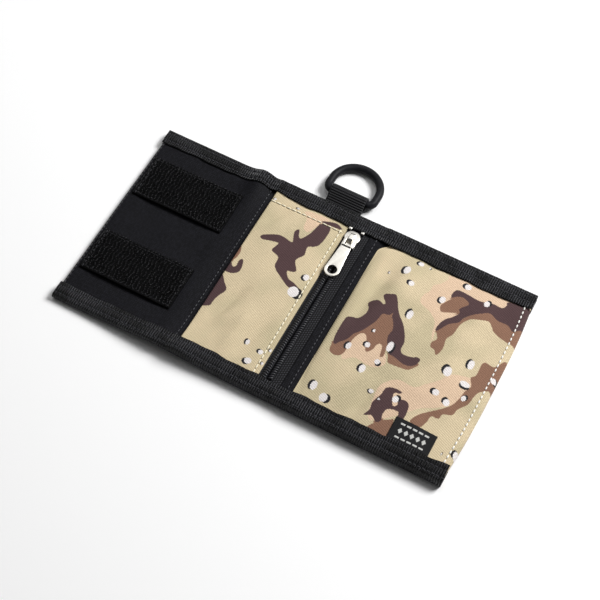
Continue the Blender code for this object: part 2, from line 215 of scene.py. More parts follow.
# soft creases as (height, start, end, width); a valley's height is negative
CARD_CREASES = ((0.9, (152, 108), (145, 66), 5.0), (-1.1, (156, 6), (164, 34), 2.8),
                (-0.6, (196, 6), (186, 44), 5.0), (0.4, (196, 110), (186, 70), 5.0))
COIN_CREASES = ((-1.3, (72, 18), (84, 56), 3.0), (-0.8, (69, 84), (81, 102), 2.4),
                (0.9, (86, 6), (91, 44), 3.6), (-0.8, (93, 8), (103, 48), 3.0))


def creases(x, y, marks):
    return sum(height * crease(x, y, *where) for height, *where in marks)


def rise(x, y):
    """Height of the whole sandwich off the table: a kink along the left fold, highest at its upper end."""
    peak = cloth_sizes().fold_rise / MM
    lift = 2.6 * hump(x, LEFT_FOLD - 4.0, 25.0) * ease((22.0 - y) / 22.0)
    ridge = hump(x, LEFT_FOLD - 2.8, 5.6) * (0.15 + 0.85 * ease((y - 75.0) / 38.0) ** 1.3)
    return peak * ridge + lift


def between_bindings(y, power=2.4):
    """1 in the middle of the height and 0 where the bindings hold the cloth down."""
    v = (y - HELD) / (HEIGHT - 2 * HELD)
    return np.clip(1.0 - np.abs(2.0 * v - 1.0) ** power, 0.0, 1.0)


def card_height(x, y):
    """Upper face of the card pocket's front."""
    u = (x - MOUTH) / (CARD_END - MOUTH)
    along = (0.8 + 0.2 * ease(u / 0.2)) * ease((1.0 - u) / 0.30)
    puff = cloth_sizes().card_puff / MM
    z = CARD_TOP + puff * between_bindings(y) * along
    z = z + 0.45 * crumple(x, y, 5, 26.0) * between_bindings(y, 6.0) * ease((1.0 - u) / 0.1)
    z = z - 1.6 * crease(x, y, (143, 106), (133, 46), 4.2) * ease(u / 0.12)
    z = z + creases(x, y, CARD_CREASES)
    return np.maximum(z, CARD_TOP) + rise(x, y)


def coin_height(x, y):
    """Upper face of the coin pocket's front."""
    u = np.clip((x - POCKET_LEFT) / (POCKET_RIGHT - POCKET_LEFT), 0.0, 1.0)
    along = np.sin(pi * np.clip(0.06 + 0.9 * u, 0.0, 1.0)) ** 0.8
    puff = cloth_sizes().coin_puff / MM
    z = FRONT_TOP + puff * between_bindings(y) * along
    z = z + 0.35 * crumple(x, y, 11, 17.0) * between_bindings(y, 6.0) * along
    z = z + creases(x, y, COIN_CREASES)
    return np.maximum(z, FRONT_TOP) + rise(x, y)


def lining_height(x, y):
    """Upper face of the inner wall; it lies loose on the flap and flat under the pockets."""
    loose = ease((POCKET_LEFT + 2.0 - x) / 8.0) * between_bindings(y, 8.0)
    return LINING_TOP + 0.35 * loose * crumple(x, y, 23, 24.0) + rise(x, y)


def facing_height(x, y):
    """Upper face of the plain strip beside the zip."""
    return FRONT_TOP + 0.12 * crumple(x, y, 31, 15.0) * between_bindings(y, 6.0) + rise(x, y)


def shell_height(x, y):
    return SHELL_TOP + rise(x, y)


def end_bulge(x, y):
    """How far the cloth swells out past the bindings at the wallet's right end."""
    return 2.0 * between_bindings(y, 3.0) * ease((x - CARD_END + 16.0) / 16.0)


def cover_shift(x, y):
    """The card pocket's cover swells at the right end, and its mouth draws back at the upper corner."""
    corner = 4.6 * ease((y - 98.0) / 8.0) ** 2 * ease((MOUTH + 12.0 - x) / 12.0)
    return end_bulge(x, y) + corner


# ---------------------------------------------------------------- mesh pieces


def piece_of(name, mesh, surface):
    """Put a mesh in the scene with one material."""
    mesh.materials.clear()
    mesh.materials.append(surface)
    made = bpy.data.objects.new(name, mesh)
    bpy.context.scene.collection.objects.link(made)
    return made


def mesh_piece(name, points, faces, surface):
    """A mesh object at the origin from points in millimetres."""
    mesh = bpy.data.meshes.new(name)
    mesh.from_pydata(to_frame(points).tolist(), [], faces)
    mesh.update()
    mesh.shade_smooth()
    return piece_of(name, mesh, surface)


def steps(start, end, pitch):
    """Evenly spaced values from start to end, both included, about pitch apart."""
    return np.linspace(start, end, max(2, int(round(abs(end - start) / pitch)) + 1))


def grid_faces(rows, columns, first=0, flip=False):
    faces = []
    for i in range(rows - 1):
        for j in range(columns - 1):
            a = first + i * columns + j
            quad = (a, a + columns, a + columns + 1, a + 1)
            faces.append(quad[::-1] if flip else quad)
    return faces


def cloth_panel(name, xs, ys, top, thickness, surface, swell=None):
    """A closed sheet of cloth: its upper face follows top(x, y), its rim is closed, and swell moves it along X."""
    x, y = np.meshgrid(xs, ys, indexing="ij")
    z = top(x, y)
    if swell:
        x = x + swell(x, y)
    upper = np.stack([x, y, z], axis=-1).reshape(-1, 3)
    lower = np.stack([x, y, z - thickness], axis=-1).reshape(-1, 3)
    rows, columns = len(xs), len(ys)
    count = rows * columns
    faces = grid_faces(rows, columns) + grid_faces(rows, columns, count, flip=True)
    rim = [i * columns for i in range(rows)]
    rim += [(rows - 1) * columns + j for j in range(1, columns)]
    rim += [i * columns + columns - 1 for i in range(rows - 2, -1, -1)]
    rim += list(range(columns - 2, 0, -1))
    for a, b in zip(rim, rim[1:] + rim[:1]):
        faces.append((b, a, a + count, b + count))
    return mesh_piece(name, np.concatenate([upper, lower]), faces, surface)


def offset_section(path, thickness):
    """Closed sections that follow open ones, half a thickness to either side; path is (stations, points, 2)."""
    along = np.gradient(path, axis=1)
    normal = np.stack([-along[..., 1], along[..., 0]], axis=-1)
    normal /= np.maximum(np.linalg.norm(normal, axis=-1, keepdims=True), 1e-9)
    left = path + normal * thickness / 2
    right = path - normal * thickness / 2
    return np.concatenate([left, right[:, ::-1]], axis=1)


def tube_faces(stations, count, closed=False):
    """Quads between successive rings of count points; closed joins the last ring to the first."""
    faces = []
    for i in range(stations if closed else stations - 1):
        here, there = i * count, (i + 1) % stations * count
        faces += [(here + k, here + (k + 1) % count, there + (k + 1) % count, there + k) for k in range(count)]
    return faces


def turn_outwards(made):
    """Recalculate a closed mesh's normals so that they point outwards."""
    bm = bmesh.new()
    bm.from_mesh(made.data)
    bmesh.ops.recalc_face_normals(bm, faces=bm.faces)
    bm.to_mesh(made.data)
    bm.free()
    return made


def strip_caps(stations, count, half):
    """End caps of a strip whose section is a doubled path of half points a side."""
    faces = []
    for base, flip in ((0, False), ((stations - 1) * count, True)):
        for k in range(half - 1):
            quad = (base + k, base + k + 1, base + count - 2 - k, base + count - 1 - k)
            faces.append(quad[::-1] if flip else quad)
    return faces


def rounded_copy(name, node, width, surface):
    """A packed metal piece again, with its flat faces joined up and its edges rounded."""
    mesh = frame["nodes"][node].data.copy()
    mesh.name = name
    bm = bmesh.new()
    bm.from_mesh(mesh)
    bmesh.ops.remove_doubles(bm, verts=bm.verts, dist=2e-6)
    bmesh.ops.dissolve_limit(bm, angle_limit=radians(1.0), verts=bm.verts, edges=bm.edges)
    bm.to_mesh(mesh)
    bm.free()
    made = piece_of(name, mesh, surface)
    bevel = made.modifiers.new("edges", "BEVEL")
    bevel.width, bevel.segments, bevel.limit_method = width * MM, 2, "ANGLE"
    bevel.angle_limit, bevel.use_clamp_overlap = radians(28), True
    made.data = bpy.data.meshes.new_from_object(made.evaluated_get(bpy.context.evaluated_depsgraph_get()))
    made.modifiers.clear()
    made.data.shade_smooth()
    made.data.set_sharp_from_angle(angle=radians(40))
    return made


def bend_at_left(made):
    """The flap's side of a strip: its place is baked into its mesh."""
    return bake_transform(made)


def bend_at_right(made):
    """The card side of a strip: its place is baked into its mesh."""
    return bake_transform(made)


# ---------------------------------------------------------------- materials


def linear(code):
    """An sRGB hex colour as linear red, green, blue and alpha."""
    parts = [int(code[i:i + 2], 16) / 255 for i in (1, 3, 5)]
    return [p / 12.92 if p <= 0.04045 else ((p + 0.055) / 1.055) ** 2.4 for p in parts] + [1.0]


def add_node(tree, kind, inputs=None, out=0, **settings):
    """Add a node and return one of its outputs; inputs maps a socket to its value or to the socket that feeds it."""
    made = tree.nodes.new(kind)
    for name, value in settings.items():
        setattr(made, name, value)
    for name, value in (inputs or {}).items():
        socket = made.inputs[name]
        if isinstance(value, bpy.types.NodeSocket):
            tree.links.new(value, socket)
        else:
            socket.default_value = value
    return made.outputs[out]


def start_material(name, colour, roughness, metallic=0.0, gleam=0.5):
    """A Principled material with its plain values, and its Object coordinates for patterns.

    Gleam is the specular level: cloth of crossing fibres scatters most of what a smooth face reflects.
    """
    made = bpy.data.materials.new(name)
    made.use_nodes = True
    shader = made.node_tree.nodes["Principled BSDF"]
    shader.inputs["Base Color"].default_value = linear(colour)
    shader.inputs["Roughness"].default_value = roughness
    shader.inputs["Metallic"].default_value = metallic
    shader.inputs["Specular IOR Level"].default_value = gleam
    return made, made.node_tree, shader, add_node(made.node_tree, "ShaderNodeTexCoord", out="Object")


def pattern(tree, place, *parts):
    """The product of its parts: noise as (grain, detail), sine bands across X as (period, turn, distortion).

    Grain and period are in metres, and bands are turned about Z by turn degrees.
    """
    total = None
    for part in parts:
        if len(part) == 2:
            grain, detail = part
            drawn = add_node(tree, "ShaderNodeTexNoise", {
                "Vector": place, "Scale": 1.0 / grain, "Detail": detail}, "Fac")
        else:
            period, turn, distortion = part
            turned = add_node(tree, "ShaderNodeMapping", {"Vector": place, "Rotation": (0, 0, radians(turn))})
            drawn = add_node(tree, "ShaderNodeTexWave", {
                "Vector": turned, "Scale": 2 * pi / (20 * period), "Distortion": distortion,
                "Detail": 1.0, "Detail Scale": 1.5}, "Fac", wave_type="BANDS", bands_direction="X")
        total = drawn if total is None else add_node(
            tree, "ShaderNodeMath", {0: total, 1: drawn}, operation="MULTIPLY")
    return total


def shade(tree, place, *layers):
    """The product of patterns, each as (parts, low, high) stretched to 0..1, or to two more numbers that follow."""
    total = None
    for parts, *limits in layers:
        ends = dict(zip(("From Min", "From Max", "To Min", "To Max"), limits))
        mapped = add_node(tree, "ShaderNodeMapRange", {"Value": pattern(tree, place, *parts), **ends})
        total = mapped if total is None else add_node(
            tree, "ShaderNodeMath", {0: total, 1: mapped}, operation="MULTIPLY")
    return total


def finish(name, colour, roughness, bump, tone=(), rough=(), metallic=0.0, gleam=0.5):
    """A material from its plain values and patterns.

    Bump is (parts, depth in metres, strength), tone is (dark, light, layers) and rough is the layers of roughness.
    """
    made, tree, shader, place = start_material(name, colour, roughness, metallic, gleam)
    parts, depth, strength = bump
    height = pattern(tree, place, *parts)
    tree.links.new(add_node(tree, "ShaderNodeBump", {"Height": height, "Distance": depth, "Strength": strength}),
                   shader.inputs["Normal"])
    if tone:
        dark, light, layers = tone
        tree.links.new(add_node(tree, "ShaderNodeMix", {
            0: shade(tree, place, *layers), 6: linear(dark), 7: linear(light)}, 2, data_type="RGBA"),
            shader.inputs["Base Color"])
    if rough:
        tree.links.new(shade(tree, place, *rough), shader.inputs["Roughness"])
    return made


def once(make):
    """Keep the material that a function makes, so each is made one time."""
    def kept(*values):
        name = values[0] if values else make.__name__
        return bpy.data.materials.get(name) or make(name, *values[1:])
    return kept


# the print's inks from the first laid to the last, each over those before it
INKS = {"print_tan": "#e2c5a8", "print_brown": "#8f6c59", "print_dark": "#564243",
        "print_black": "#2a292c", "print_white": "#eee8e6"}
INK_EDGE = 0.12           # how softly an ink ends, in millimetres


@once
def printed_canvas(name):
    """Polyester canvas, pigment printed: matt, slightly fuzzy, with a diagonal weave that breaks the print's edges."""
    made, tree, shader, place = start_material(name, "#d9c9a1", 0.88, gleam=0.12)
    # the yarns are 0.45 mm apart; drawn at 0.9 mm so that they show
    weave = pattern(tree, place, (0.00088, 28.0, 0.35), (0.00100, 112.0, 0.35))
    fuzz = pattern(tree, place, (0.0007, 3.0))
    rag = add_node(tree, "ShaderNodeMath", {0: weave, 1: fuzz}, operation="ADD")
    rag = add_node(tree, "ShaderNodeMapRange", {
        "Value": rag, "From Min": 0.3, "From Max": 1.2, "To Min": -INK_EDGE, "To Max": INK_EDGE})
    patches = shade(tree, place, (((0.022, 1.0),), 0.42, 0.60))
    colour = add_node(tree, "ShaderNodeMix", {0: patches, 6: linear("#dbc9a7"), 7: linear("#cbbd9b")}, 2,
                      data_type="RGBA")
    for ink, code in INKS.items():
        # the attribute is the depth inside the ink's shapes, in millimetres
        depth = add_node(tree, "ShaderNodeAttribute", out="Fac", attribute_name=ink, attribute_type="GEOMETRY")
        ragged = add_node(tree, "ShaderNodeMath", {0: depth, 1: rag}, operation="ADD")
        cover = add_node(tree, "ShaderNodeMapRange", {"Value": ragged, "From Min": -INK_EDGE, "From Max": INK_EDGE})
        colour = add_node(tree, "ShaderNodeMix", {0: cover, 6: colour, 7: linear(code)}, 2, data_type="RGBA")
    thread_tone = add_node(tree, "ShaderNodeMapRange", {
        "Value": weave, "From Min": 0.0, "From Max": 0.8, "To Min": 0.86, "To Max": 1.03})
    fuzz_tone = add_node(tree, "ShaderNodeMapRange", {
        "Value": fuzz, "From Min": 0.25, "From Max": 0.75, "To Min": 0.93, "To Max": 1.05})
    tone = add_node(tree, "ShaderNodeMath", {0: thread_tone, 1: fuzz_tone}, operation="MULTIPLY")
    grey = add_node(tree, "ShaderNodeCombineColor", {0: tone, 1: tone, 2: tone})
    tree.links.new(add_node(tree, "ShaderNodeMix", {0: 1.0, 6: colour, 7: grey}, 2, data_type="RGBA",
                            blend_type="MULTIPLY"), shader.inputs["Base Color"])
    tree.links.new(add_node(tree, "ShaderNodeBump", {"Height": weave, "Distance": 0.00016, "Strength": 0.9}),
                   shader.inputs["Normal"])
    return made


@once
def lining_nylon(name):
    """Plain woven nylon lining, dyed black: a slight satin gleam on the crossing threads."""
    # threads 0.3 mm apart; drawn at 1 mm so that they show
    weave = ((0.001, 0.0, 0.4), (0.001, 90.0, 0.4))
    return finish(name, "#101013", 0.66, (weave, 0.0001, 0.8), gleam=0.1, tone=(
        "#040405", "#25252b", ((weave, 0.0, 1.0, 0.3, 1.0), (((0.0009, 3.0),), 0.4, 0.6, 0.35, 1.0))))


@once
def grosgrain_ribbon(name):
    """Polyester grosgrain, woven with thick weft ribs across the tape: dull black, with a painted highlight in pale
    grey on the rib crests that comes and goes in random patches.
    """
    made, tree, shader, place = start_material(name, "#0d0d0e", 0.42, gleam=0.3)
    # ribs are 0.8 mm apart; drawn at 1.2 mm so that they show
    ribs, fuzz = (0.0012, 0.0, 0.6), (0.0006, 3.0)
    # painted highlight: the rib crests are painted pale grey, fading in random patches and speckled by the fuzz
    rib_highlight = shade(tree, place, ((ribs,), 0.45, 0.95), (((0.011, 3.0),), 0.4, 0.62, 0.15, 1.0),
                 ((fuzz,), 0.35, 0.65, 0.2, 1.0))
    tree.links.new(add_node(tree, "ShaderNodeMix", {0: rib_highlight, 6: linear("#020202"), 7: linear("#57575d")}, 2,
                            data_type="RGBA"), shader.inputs["Base Color"])
    height = add_node(tree, "ShaderNodeMath", {
        0: pattern(tree, place, fuzz), 1: 0.4, 2: pattern(tree, place, ribs)}, operation="MULTIPLY_ADD")
    tree.links.new(add_node(tree, "ShaderNodeBump", {"Height": height, "Distance": 0.0007, "Strength": 1.0}),
                   shader.inputs["Normal"])
    return made


@once
def nylon_webbing(name):
    """Plain woven nylon webbing: coarse ribs across its width and a tight herringbone of filament yarn."""
    yarn = ((0.0009, 0.0, 0.3), (0.0007, 3.0))
    return finish(name, "#17171a", 0.5, (yarn, 0.00015, 0.8), ("#0d0d0f", "#222226", ((yarn, 0.1, 0.6),)), gleam=0.3)


@once
def zip_tape_weave(name):
    """Polyester zip tape, woven with fine cords that run along it and slant across it: dull black, with the cords
    painted paler as a painted highlight.
    """
    cords = ((0.0011, 0.0, 0.2), (0.0012, 60.0, 0.3))
    # painted highlight: the cords are painted from black up to grey along the weave
    return finish(name, "#0e0e10", 0.6, (cords, 0.00012, 0.8), ("#030304", "#38383d", ((cords, 0.0, 0.9),)),
                  gleam=0.15)


@once
def coil_nylon(name):
    """Extruded nylon monofilament, wound and heat set: smooth, dark and a little glossy."""
    return finish(name, "#35353a", 0.28, (((0.0005, 3.0),), 0.00002, 0.5), gleam=0.8)


@once
def hook_nylon(name):
    """Ground of a nylon hook tape: matt black, a little fuzzy between the hooks."""
    fuzz = ((0.0009, 3.0),)
    return finish(name, "#060607", 0.7, (fuzz, 0.00015, 0.8), ("#010101", "#070708", ((fuzz, 0.35, 0.65),)),
                  gleam=0.08)


@once
def cut_hooks(name):
    """Cut nylon hooks, glossier than their ground: each stiff wire catches a small grey light, and the hooks are
    painted paler than the ground as a painted highlight, with a tone that varies at random.
    """
    # painted highlight: the hooks' colour is paler than the ground's
    return finish(name, "#121214", 0.32, (((0.0004, 3.0),), 0.00002, 0.5),
                  ("#020202", "#1c1c1f", ((((0.0024, 3.0),), 0.35, 0.65),)), gleam=0.35)


@once
def loop_pile(name):
    """Brushed nylon loop tape: a short tangled pile, the softest and dullest black on the wallet."""
    tangle = ((0.0011, 6.0),)
    return finish(name, "#131315", 0.95, (tangle, 0.0005, 1.0), ("#070708", "#26262a", ((tangle, 0.35, 0.65),)),
                  gleam=0.1)


@once
def plated_nickel(name):
    """Die-cast zinc with bright nickel plate: a warm white metal with faint tumbling marks."""
    marks = ((0.0016, 3.0),)
    return finish(name, "#dbd8d0", 0.34, (marks, 0.000006, 0.5), rough=((marks, 0.3, 0.7, 0.3, 0.4),), metallic=1.0)


@once
def moulded_acetal(name):
    """Injection-moulded acetal, dark grey with a satin, faintly pebbled skin."""
    skin = ((0.0012, 5.0),)
    return finish(name, "#222225", 0.5, (skin, 0.00005, 0.6), ("#1b1b1e", "#252528", ((skin, 0.3, 0.7),)),
                  ((skin, 0.3, 0.7, 0.36, 0.5),), gleam=0.08)


@once
def thread(name, colour, roughness):
    """Spun polyester sewing thread, plied from yarns that show as a fine slanting twist."""
    return finish(name, colour, roughness, (((0.0005, 40.0, 0.3),), 0.00006, 0.8), gleam=0.25)


@once
def woven_label(name):
    """Damask label ribbon: dense black satin ground with a pale woven figure."""
    made, tree, shader, place = start_material(name, "#161618", 0.6, gleam=0.15)
    rows = pattern(tree, place, (0.0006, 90.0, 0.1))
    figure = add_node(tree, "ShaderNodeAttribute", out="Fac", attribute_name="figure", attribute_type="GEOMETRY")
    shaded, pale = (add_node(tree, "ShaderNodeMix", {0: rows, 6: linear(a), 7: linear(b)}, 2, data_type="RGBA")
                    for a, b in (("#0f0f10", "#202022"), ("#a9a9a6", "#dcdcd8")))
    drawn = add_node(tree, "ShaderNodeMapRange", {"Value": figure, "From Min": 0.35, "From Max": 0.65})
    tree.links.new(add_node(tree, "ShaderNodeMix", {0: drawn, 6: shaded, 7: pale}, 2, data_type="RGBA"),
                   shader.inputs["Base Color"])
    height = add_node(tree, "ShaderNodeMath", {0: rows, 1: figure}, operation="ADD")
    tree.links.new(add_node(tree, "ShaderNodeBump", {"Height": height, "Distance": 0.00008, "Strength": 0.8}),
                   shader.inputs["Normal"])
    return made


# ---------------------------------------------------------------- the print


# each shape is a closed outline in millimetres, and a smooth curve runs through its points
COIN_PRINT = {
    "print_brown": (
        ((67, 69.5), (69.2, 65.5), (68.6, 60.5), (66.5, 60)),
    ),
    "print_dark": (
        ((96.5, 100), (101.8, 100.2), (102.5, 94), (101.8, 88.5), (100, 85.8), (97.2, 84),
         (98, 79), (96.2, 76), (95.8, 73.5), (98.8, 68.8), (97, 67.2), (94.8, 66.5), (97.5, 63),
         (101.5, 62), (106, 59.5), (100, 58.5), (96, 60.5), (88.5, 65.5), (87.2, 71.5),
         (82.5, 73.5), (83.5, 78.5), (81.5, 78.8), (75, 77.2), (73.5, 78.5), (74.5, 80), (80.5, 83.2),
         (84, 83.6), (89, 82.8), (88.5, 85), (87.2, 89), (88, 91.2), (89, 91), (90.5, 87.5),
         (92.2, 87.3), (94.5, 92), (95.8, 98)),
        ((96, 101.4), (100, 103.4), (104, 104.2), (107.4, 102.2), (102, 101.4)),
        ((66.5, 60), (69.5, 56.5), (71.2, 57), (71, 60.8), (72.2, 62.2), (73.6, 60), (74.3, 55),
         (71, 52.2), (66.5, 53.2)),
        ((66.5, 49.5), (71, 46), (73.8, 42.5), (72, 38), (71.2, 34.5), (70.7, 31.2), (66.5, 31)),
    ),
    "print_tan": (
        ((86, 103), (93, 104.6), (99.5, 104.4), (97, 101), (95, 96), (93, 92), (90, 93.5),
         (89, 99)),
    ),
}

CARD_PRINT = {
    "print_tan": (
        ((169, 104), (198.5, 106), (197, 99), (186, 96), (173, 97.5), (180, 86), (174, 75),
         (175, 64), (173, 69), (171.5, 75), (167, 79), (161, 81.5), (160, 86), (162, 90.5),
         (162, 94), (165, 97), (167, 101)),
        ((201, 55.5), (201.5, 50), (200, 44), (198, 39), (192, 33.5), (186, 30),
         (182, 26), (174, 18), (166, 13.5), (163, 28), (165, 34), (170, 38), (178, 38),
         (182, 42), (187, 47), (190, 52), (196, 55)),
        ((142, 52), (154, 51.2), (160.5, 43), (157, 38.5), (152, 38), (146, 38.5),
         (141, 35), (139.5, 42)),
    ),
    "print_brown": (
        ((147.5, 66.5), (150.5, 67.3), (151, 69.5), (152.3, 69), (154.5, 64.5), (155.3, 60), (155, 55.5),
         (156.8, 51.5), (158, 46), (156.5, 44.8), (155.2, 50), (153.6, 51.2), (152.3, 49.5), (151.8, 46.5),
         (149.7, 44), (148.2, 45.8), (147, 49.5), (145.5, 52), (143.2, 52), (141, 47.5), (140.8, 42),
         (140, 37.2), (137.5, 35.4), (134.5, 35.8), (133.2, 38), (133.5, 41.2), (137, 45), (140, 51),
         (144, 57.5)),
        ((160.3, 48), (167.5, 47.5), (174, 49.5), (172, 45.2), (168, 44), (162, 43.5), (160.5, 45)),
        ((173, 90.8), (176.5, 94.5), (181.8, 92.8), (179, 88), (179.8, 85.8), (175, 83.2), (171.7, 81.9),
         (170, 84.8), (171.2, 88)),
        ((175, 71.5), (182, 81), (190, 91), (198, 92), (206, 91.5), (212, 92), (212, 83.5),
         (208, 82.5), (204, 83), (199, 84.5), (196.5, 87), (194.2, 88.2), (190, 86.5), (186, 84.5),
         (183.2, 80), (182.3, 73), (180.5, 69), (181.3, 63), (179.8, 58.3), (178, 60.5),
         (175.5, 61.2), (175, 64), (176.5, 67)),
        ((201.5, 67), (207, 67.3), (210.5, 73), (214, 73), (214, 54.5), (210, 54.2), (206.5, 51.5),
         (205, 48), (204.2, 43), (201, 38), (200, 34), (196, 32), (195, 29), (191.5, 28.5),
         (191, 25), (189, 20.5), (184, 20.8), (185.2, 25), (188.5, 29), (194, 34),
         (197.5, 38.5), (199.2, 43), (200, 48), (201.5, 52), (199.5, 56), (201.2, 59)),
        ((167.5, 8.5), (171, 14.5), (175, 17.5), (177, 18), (177.5, 8)),
    ),
    "print_dark": (
        ((143.5, 77.5), (146, 78.5), (148.5, 79.3), (150.5, 77), (152.5, 73.5), (155, 70), (158.5, 66.5),
         (161.5, 62), (163.5, 57.5), (163.8, 53), (166, 51.2), (170.5, 52), (172.3, 53.1), (174.4, 52.4),
         (173.5, 49), (171, 47), (167.5, 46.5), (162, 48), (160, 48), (156.5, 53), (155, 57),
         (155.5, 61), (153.8, 65), (152, 67.5), (151.7, 70), (150.5, 67.5), (147.5, 66.5), (146.5, 62),
         (144.8, 57.5), (142.5, 53), (140, 50), (138.5, 46), (136, 43), (134.5, 40.8), (133, 42),
         (132.3, 47), (132.5, 56), (134.5, 58.2), (138, 59.2), (140, 63), (139.8, 66.5),
         (138.3, 69), (139, 71), (142, 72.8), (145.5, 71.5), (145.8, 72.8), (143.5, 75.5)),
        ((173.5, 97.5), (178, 97.8), (186, 97), (192, 98.8), (197, 99), (198.5, 101.5),
         (198.8, 104), (211, 106), (214, 93.5), (210.5, 93), (207, 89.5), (203.5, 91.7),
         (198, 91.3), (193.2, 92.8), (190, 90.7), (186, 87.5), (182.8, 83.5), (182, 80.5), (178, 77),
         (174.7, 71.2), (173.5, 71.8), (174, 75.5), (175.5, 79), (178, 82), (180, 85.5), (179, 88),
         (182, 92.5), (178, 94.8), (175, 93.8), (172.8, 92), (172.2, 94.2)),
        ((165.8, 27), (166.5, 31.5), (170, 33.2), (174.2, 33), (173.5, 31.7), (171, 30.8), (172, 27),
         (173.5, 24.5), (175, 26), (174.5, 28.5), (177, 29.8), (179.8, 28.5), (180.8, 24), (180.5, 20.5),
         (178, 20.5), (176.8, 23), (172, 22), (171, 18.5), (171.7, 15.5), (170, 13.5), (166.5, 15.5),
         (163.2, 14), (164.5, 18), (164, 22)),
    ),
}

# pebbles of the print: centre x and y, width, height, and the side of the black crescent in degrees
COIN_CHIPS = (
    (104.8, 68, 3, 3.6, 215), (103, 57.5, 5.5, 6, 0), (96.8, 22.5, 2, 3, 180),
    (105, 20.5, 2.5, 2.5, 180), (101.8, 13.5, 3.6, 3.2, 215), (69.2, 102.3, 1.6, 1.2, 180),
    (82.3, 102.7, 1.8, 1, 180), (108.7, 23.5, 1.2, 1.6, 180), (108.5, 15.5, 1.2, 1.6, 180),
)
CARD_CHIPS = (
    (147, 95.5, 3.4, 5, 200), (152.2, 89.2, 3, 3, 180), (159.2, 72.8, 3, 5.5, 150),
    (148.5, 47.7, 2.6, 3, 180), (158.5, 52, 3, 6, 330), (140.7, 43, 2.6, 4, 180),
    (156.7, 41.7, 2.8, 2.8, 310), (152, 35, 3, 4.6, 180), (161, 26.8, 2.6, 2, 215),
    (166, 24.5, 1.2, 1.2, 180), (135.7, 16.5, 3.2, 5, 180), (142.5, 13, 4, 4.6, 0),
    (151.5, 102.5, 3, 2.6, 180), (177.6, 101.8, 3.4, 3.4, 180), (169.5, 88.5, 3, 4, 215),
    (189.7, 97, 2.8, 3.6, 45), (196.8, 62.5, 3, 5.4, 180), (188.5, 53.2, 4, 5.4, 150),
    (198.5, 51.5, 5, 3.2, 270), (188.2, 40.5, 3.4, 3.4, 180), (194.8, 38.2, 3.2, 3.8, 150),
    (201, 44.5, 2.4, 3, 45), (173, 28.2, 3, 3.6, 45), (209.8, 60.2, 3, 3, 0),
    (210.2, 16.5, 3, 4, 180), (147.8, 56.2, 1.4, 1.8, 200), (139.5, 90.7, 0.8, 1.4, 200),
    (156.5, 102.5, 0.8, 1.2, 0), (204, 13.5, 0.7, 1.4, 90),
)


def smooth_outline(points, per_side=5):
    """Catmull-Rom curve through a closed run of points."""
    p = np.array(points, float)
    before, after, beyond = np.roll(p, 1, 0), np.roll(p, -1, 0), np.roll(p, -2, 0)
    rows = []
    for t in np.arange(per_side) / per_side:
        rows.append(0.5 * (2 * p + (after - before) * t + (2 * before - 5 * p + 4 * after - beyond) * t * t
                           + (3 * p - before - 3 * after + beyond) * t ** 3))
    return np.stack(rows, 1).reshape(-1, 2)


FAR = 3.0                 # depths are held between this and its negative
FOLD_MARGIN = 8.0         # no pebble has its centre nearer to a fold than this


def depth_inside(x, y, outline):
    """Distance in from an outline's edge, negative outside it."""
    depth = np.full(x.shape, -FAR)
    low, high = outline.min(0) - FAR, outline.max(0) + FAR
    near = (x > low[0]) & (x < high[0]) & (y > low[1]) & (y < high[1])
    if not near.any():
        return depth
    p = np.stack([x[near], y[near]], 1)[:, None, :]
    a, b = outline[None], np.roll(outline, -1, 0)[None]
    side = b - a
    t = np.clip(((p - a) * side).sum(-1) / np.maximum((side * side).sum(-1), 1e-9), 0, 1)
    away = np.sqrt((((a + t[..., None] * side) - p) ** 2).sum(-1)).min(1)
    crosses = (a[..., 1] > p[..., 1]) != (b[..., 1] > p[..., 1])
    rise_y = np.where(np.abs(side[..., 1]) < 1e-9, 1e-9, side[..., 1])
    left = p[..., 0] < a[..., 0] + (p[..., 1] - a[..., 1]) * side[..., 0] / rise_y
    inside = ((crosses & left).sum(1) % 2).astype(bool)
    depth[near] = np.clip(np.where(inside, away, -away), -FAR, FAR)
    return depth


def depth_in_pebble(x, y, chip, shift=0.0):
    """Depth inside one pebble; shift moves it towards its crescent's side."""
    cx, cy, wide, high, turn = chip
    cx, cy = cx + shift * cos(radians(turn)), cy + shift * sin(radians(turn))
    return (1.0 - np.hypot((x - cx) / (wide / 2), (y - cy) / (high / 2))) * min(wide, high) / 2


def print_depths(x, y, shapes, chips, moves, folds):
    """Depth of each ink at each point; moves repeats the print as (shift along X, upside down or not).

    Pebbles near a fold are left out, because the cloth stretches there when it closes.
    """
    inks = {name: np.full(x.shape, -FAR) for name in INKS}
    for shift, flipped in moves:
        u, v = x - shift, HEIGHT - y if flipped else y
        for name, outlines in shapes.items():
            for outline in outlines:
                inks[name] = np.maximum(inks[name], depth_inside(u, v, smooth_outline(outline)))
        for chip in chips:
            if any(abs(chip[0] + shift - fold) < FOLD_MARGIN for fold in folds):
                continue
            crescent = depth_in_pebble(u, v, chip, 0.36 * min(chip[2:4])) + 0.15
            inks["print_black"] = np.maximum(inks["print_black"], crescent)
            inks["print_white"] = np.maximum(inks["print_white"], depth_in_pebble(u, v, chip))
    # brown runs on under the dark ink, so that no ground shows between two shapes that meet
    close = np.minimum(inks["print_brown"], inks["print_dark"]) + 0.9
    inks["print_brown"] = np.maximum(inks["print_brown"], close)
    return inks


def places_of(made):
    """X and Y of each point of a piece, in millimetres."""
    places = np.empty(len(made.data.vertices) * 3)
    made.data.vertices.foreach_get("co", places)
    return from_frame(places.reshape(-1, 3))[:, :2].T


def store(made, name, values):
    """Keep one number for each point of a piece, for its material to read."""
    made.data.attributes.new(name, "FLOAT", "POINT").data.foreach_set("value", values.astype(np.float32))


def print_on(made, shapes, chips, moves=((0.0, False),), folds=()):
    """Store the print's depths on a cloth piece's points."""
    for name, values in print_depths(*places_of(made), shapes, chips, moves, folds).items():
        store(made, name, values)


# ---------------------------------------------------------------- repeated parts by node trees


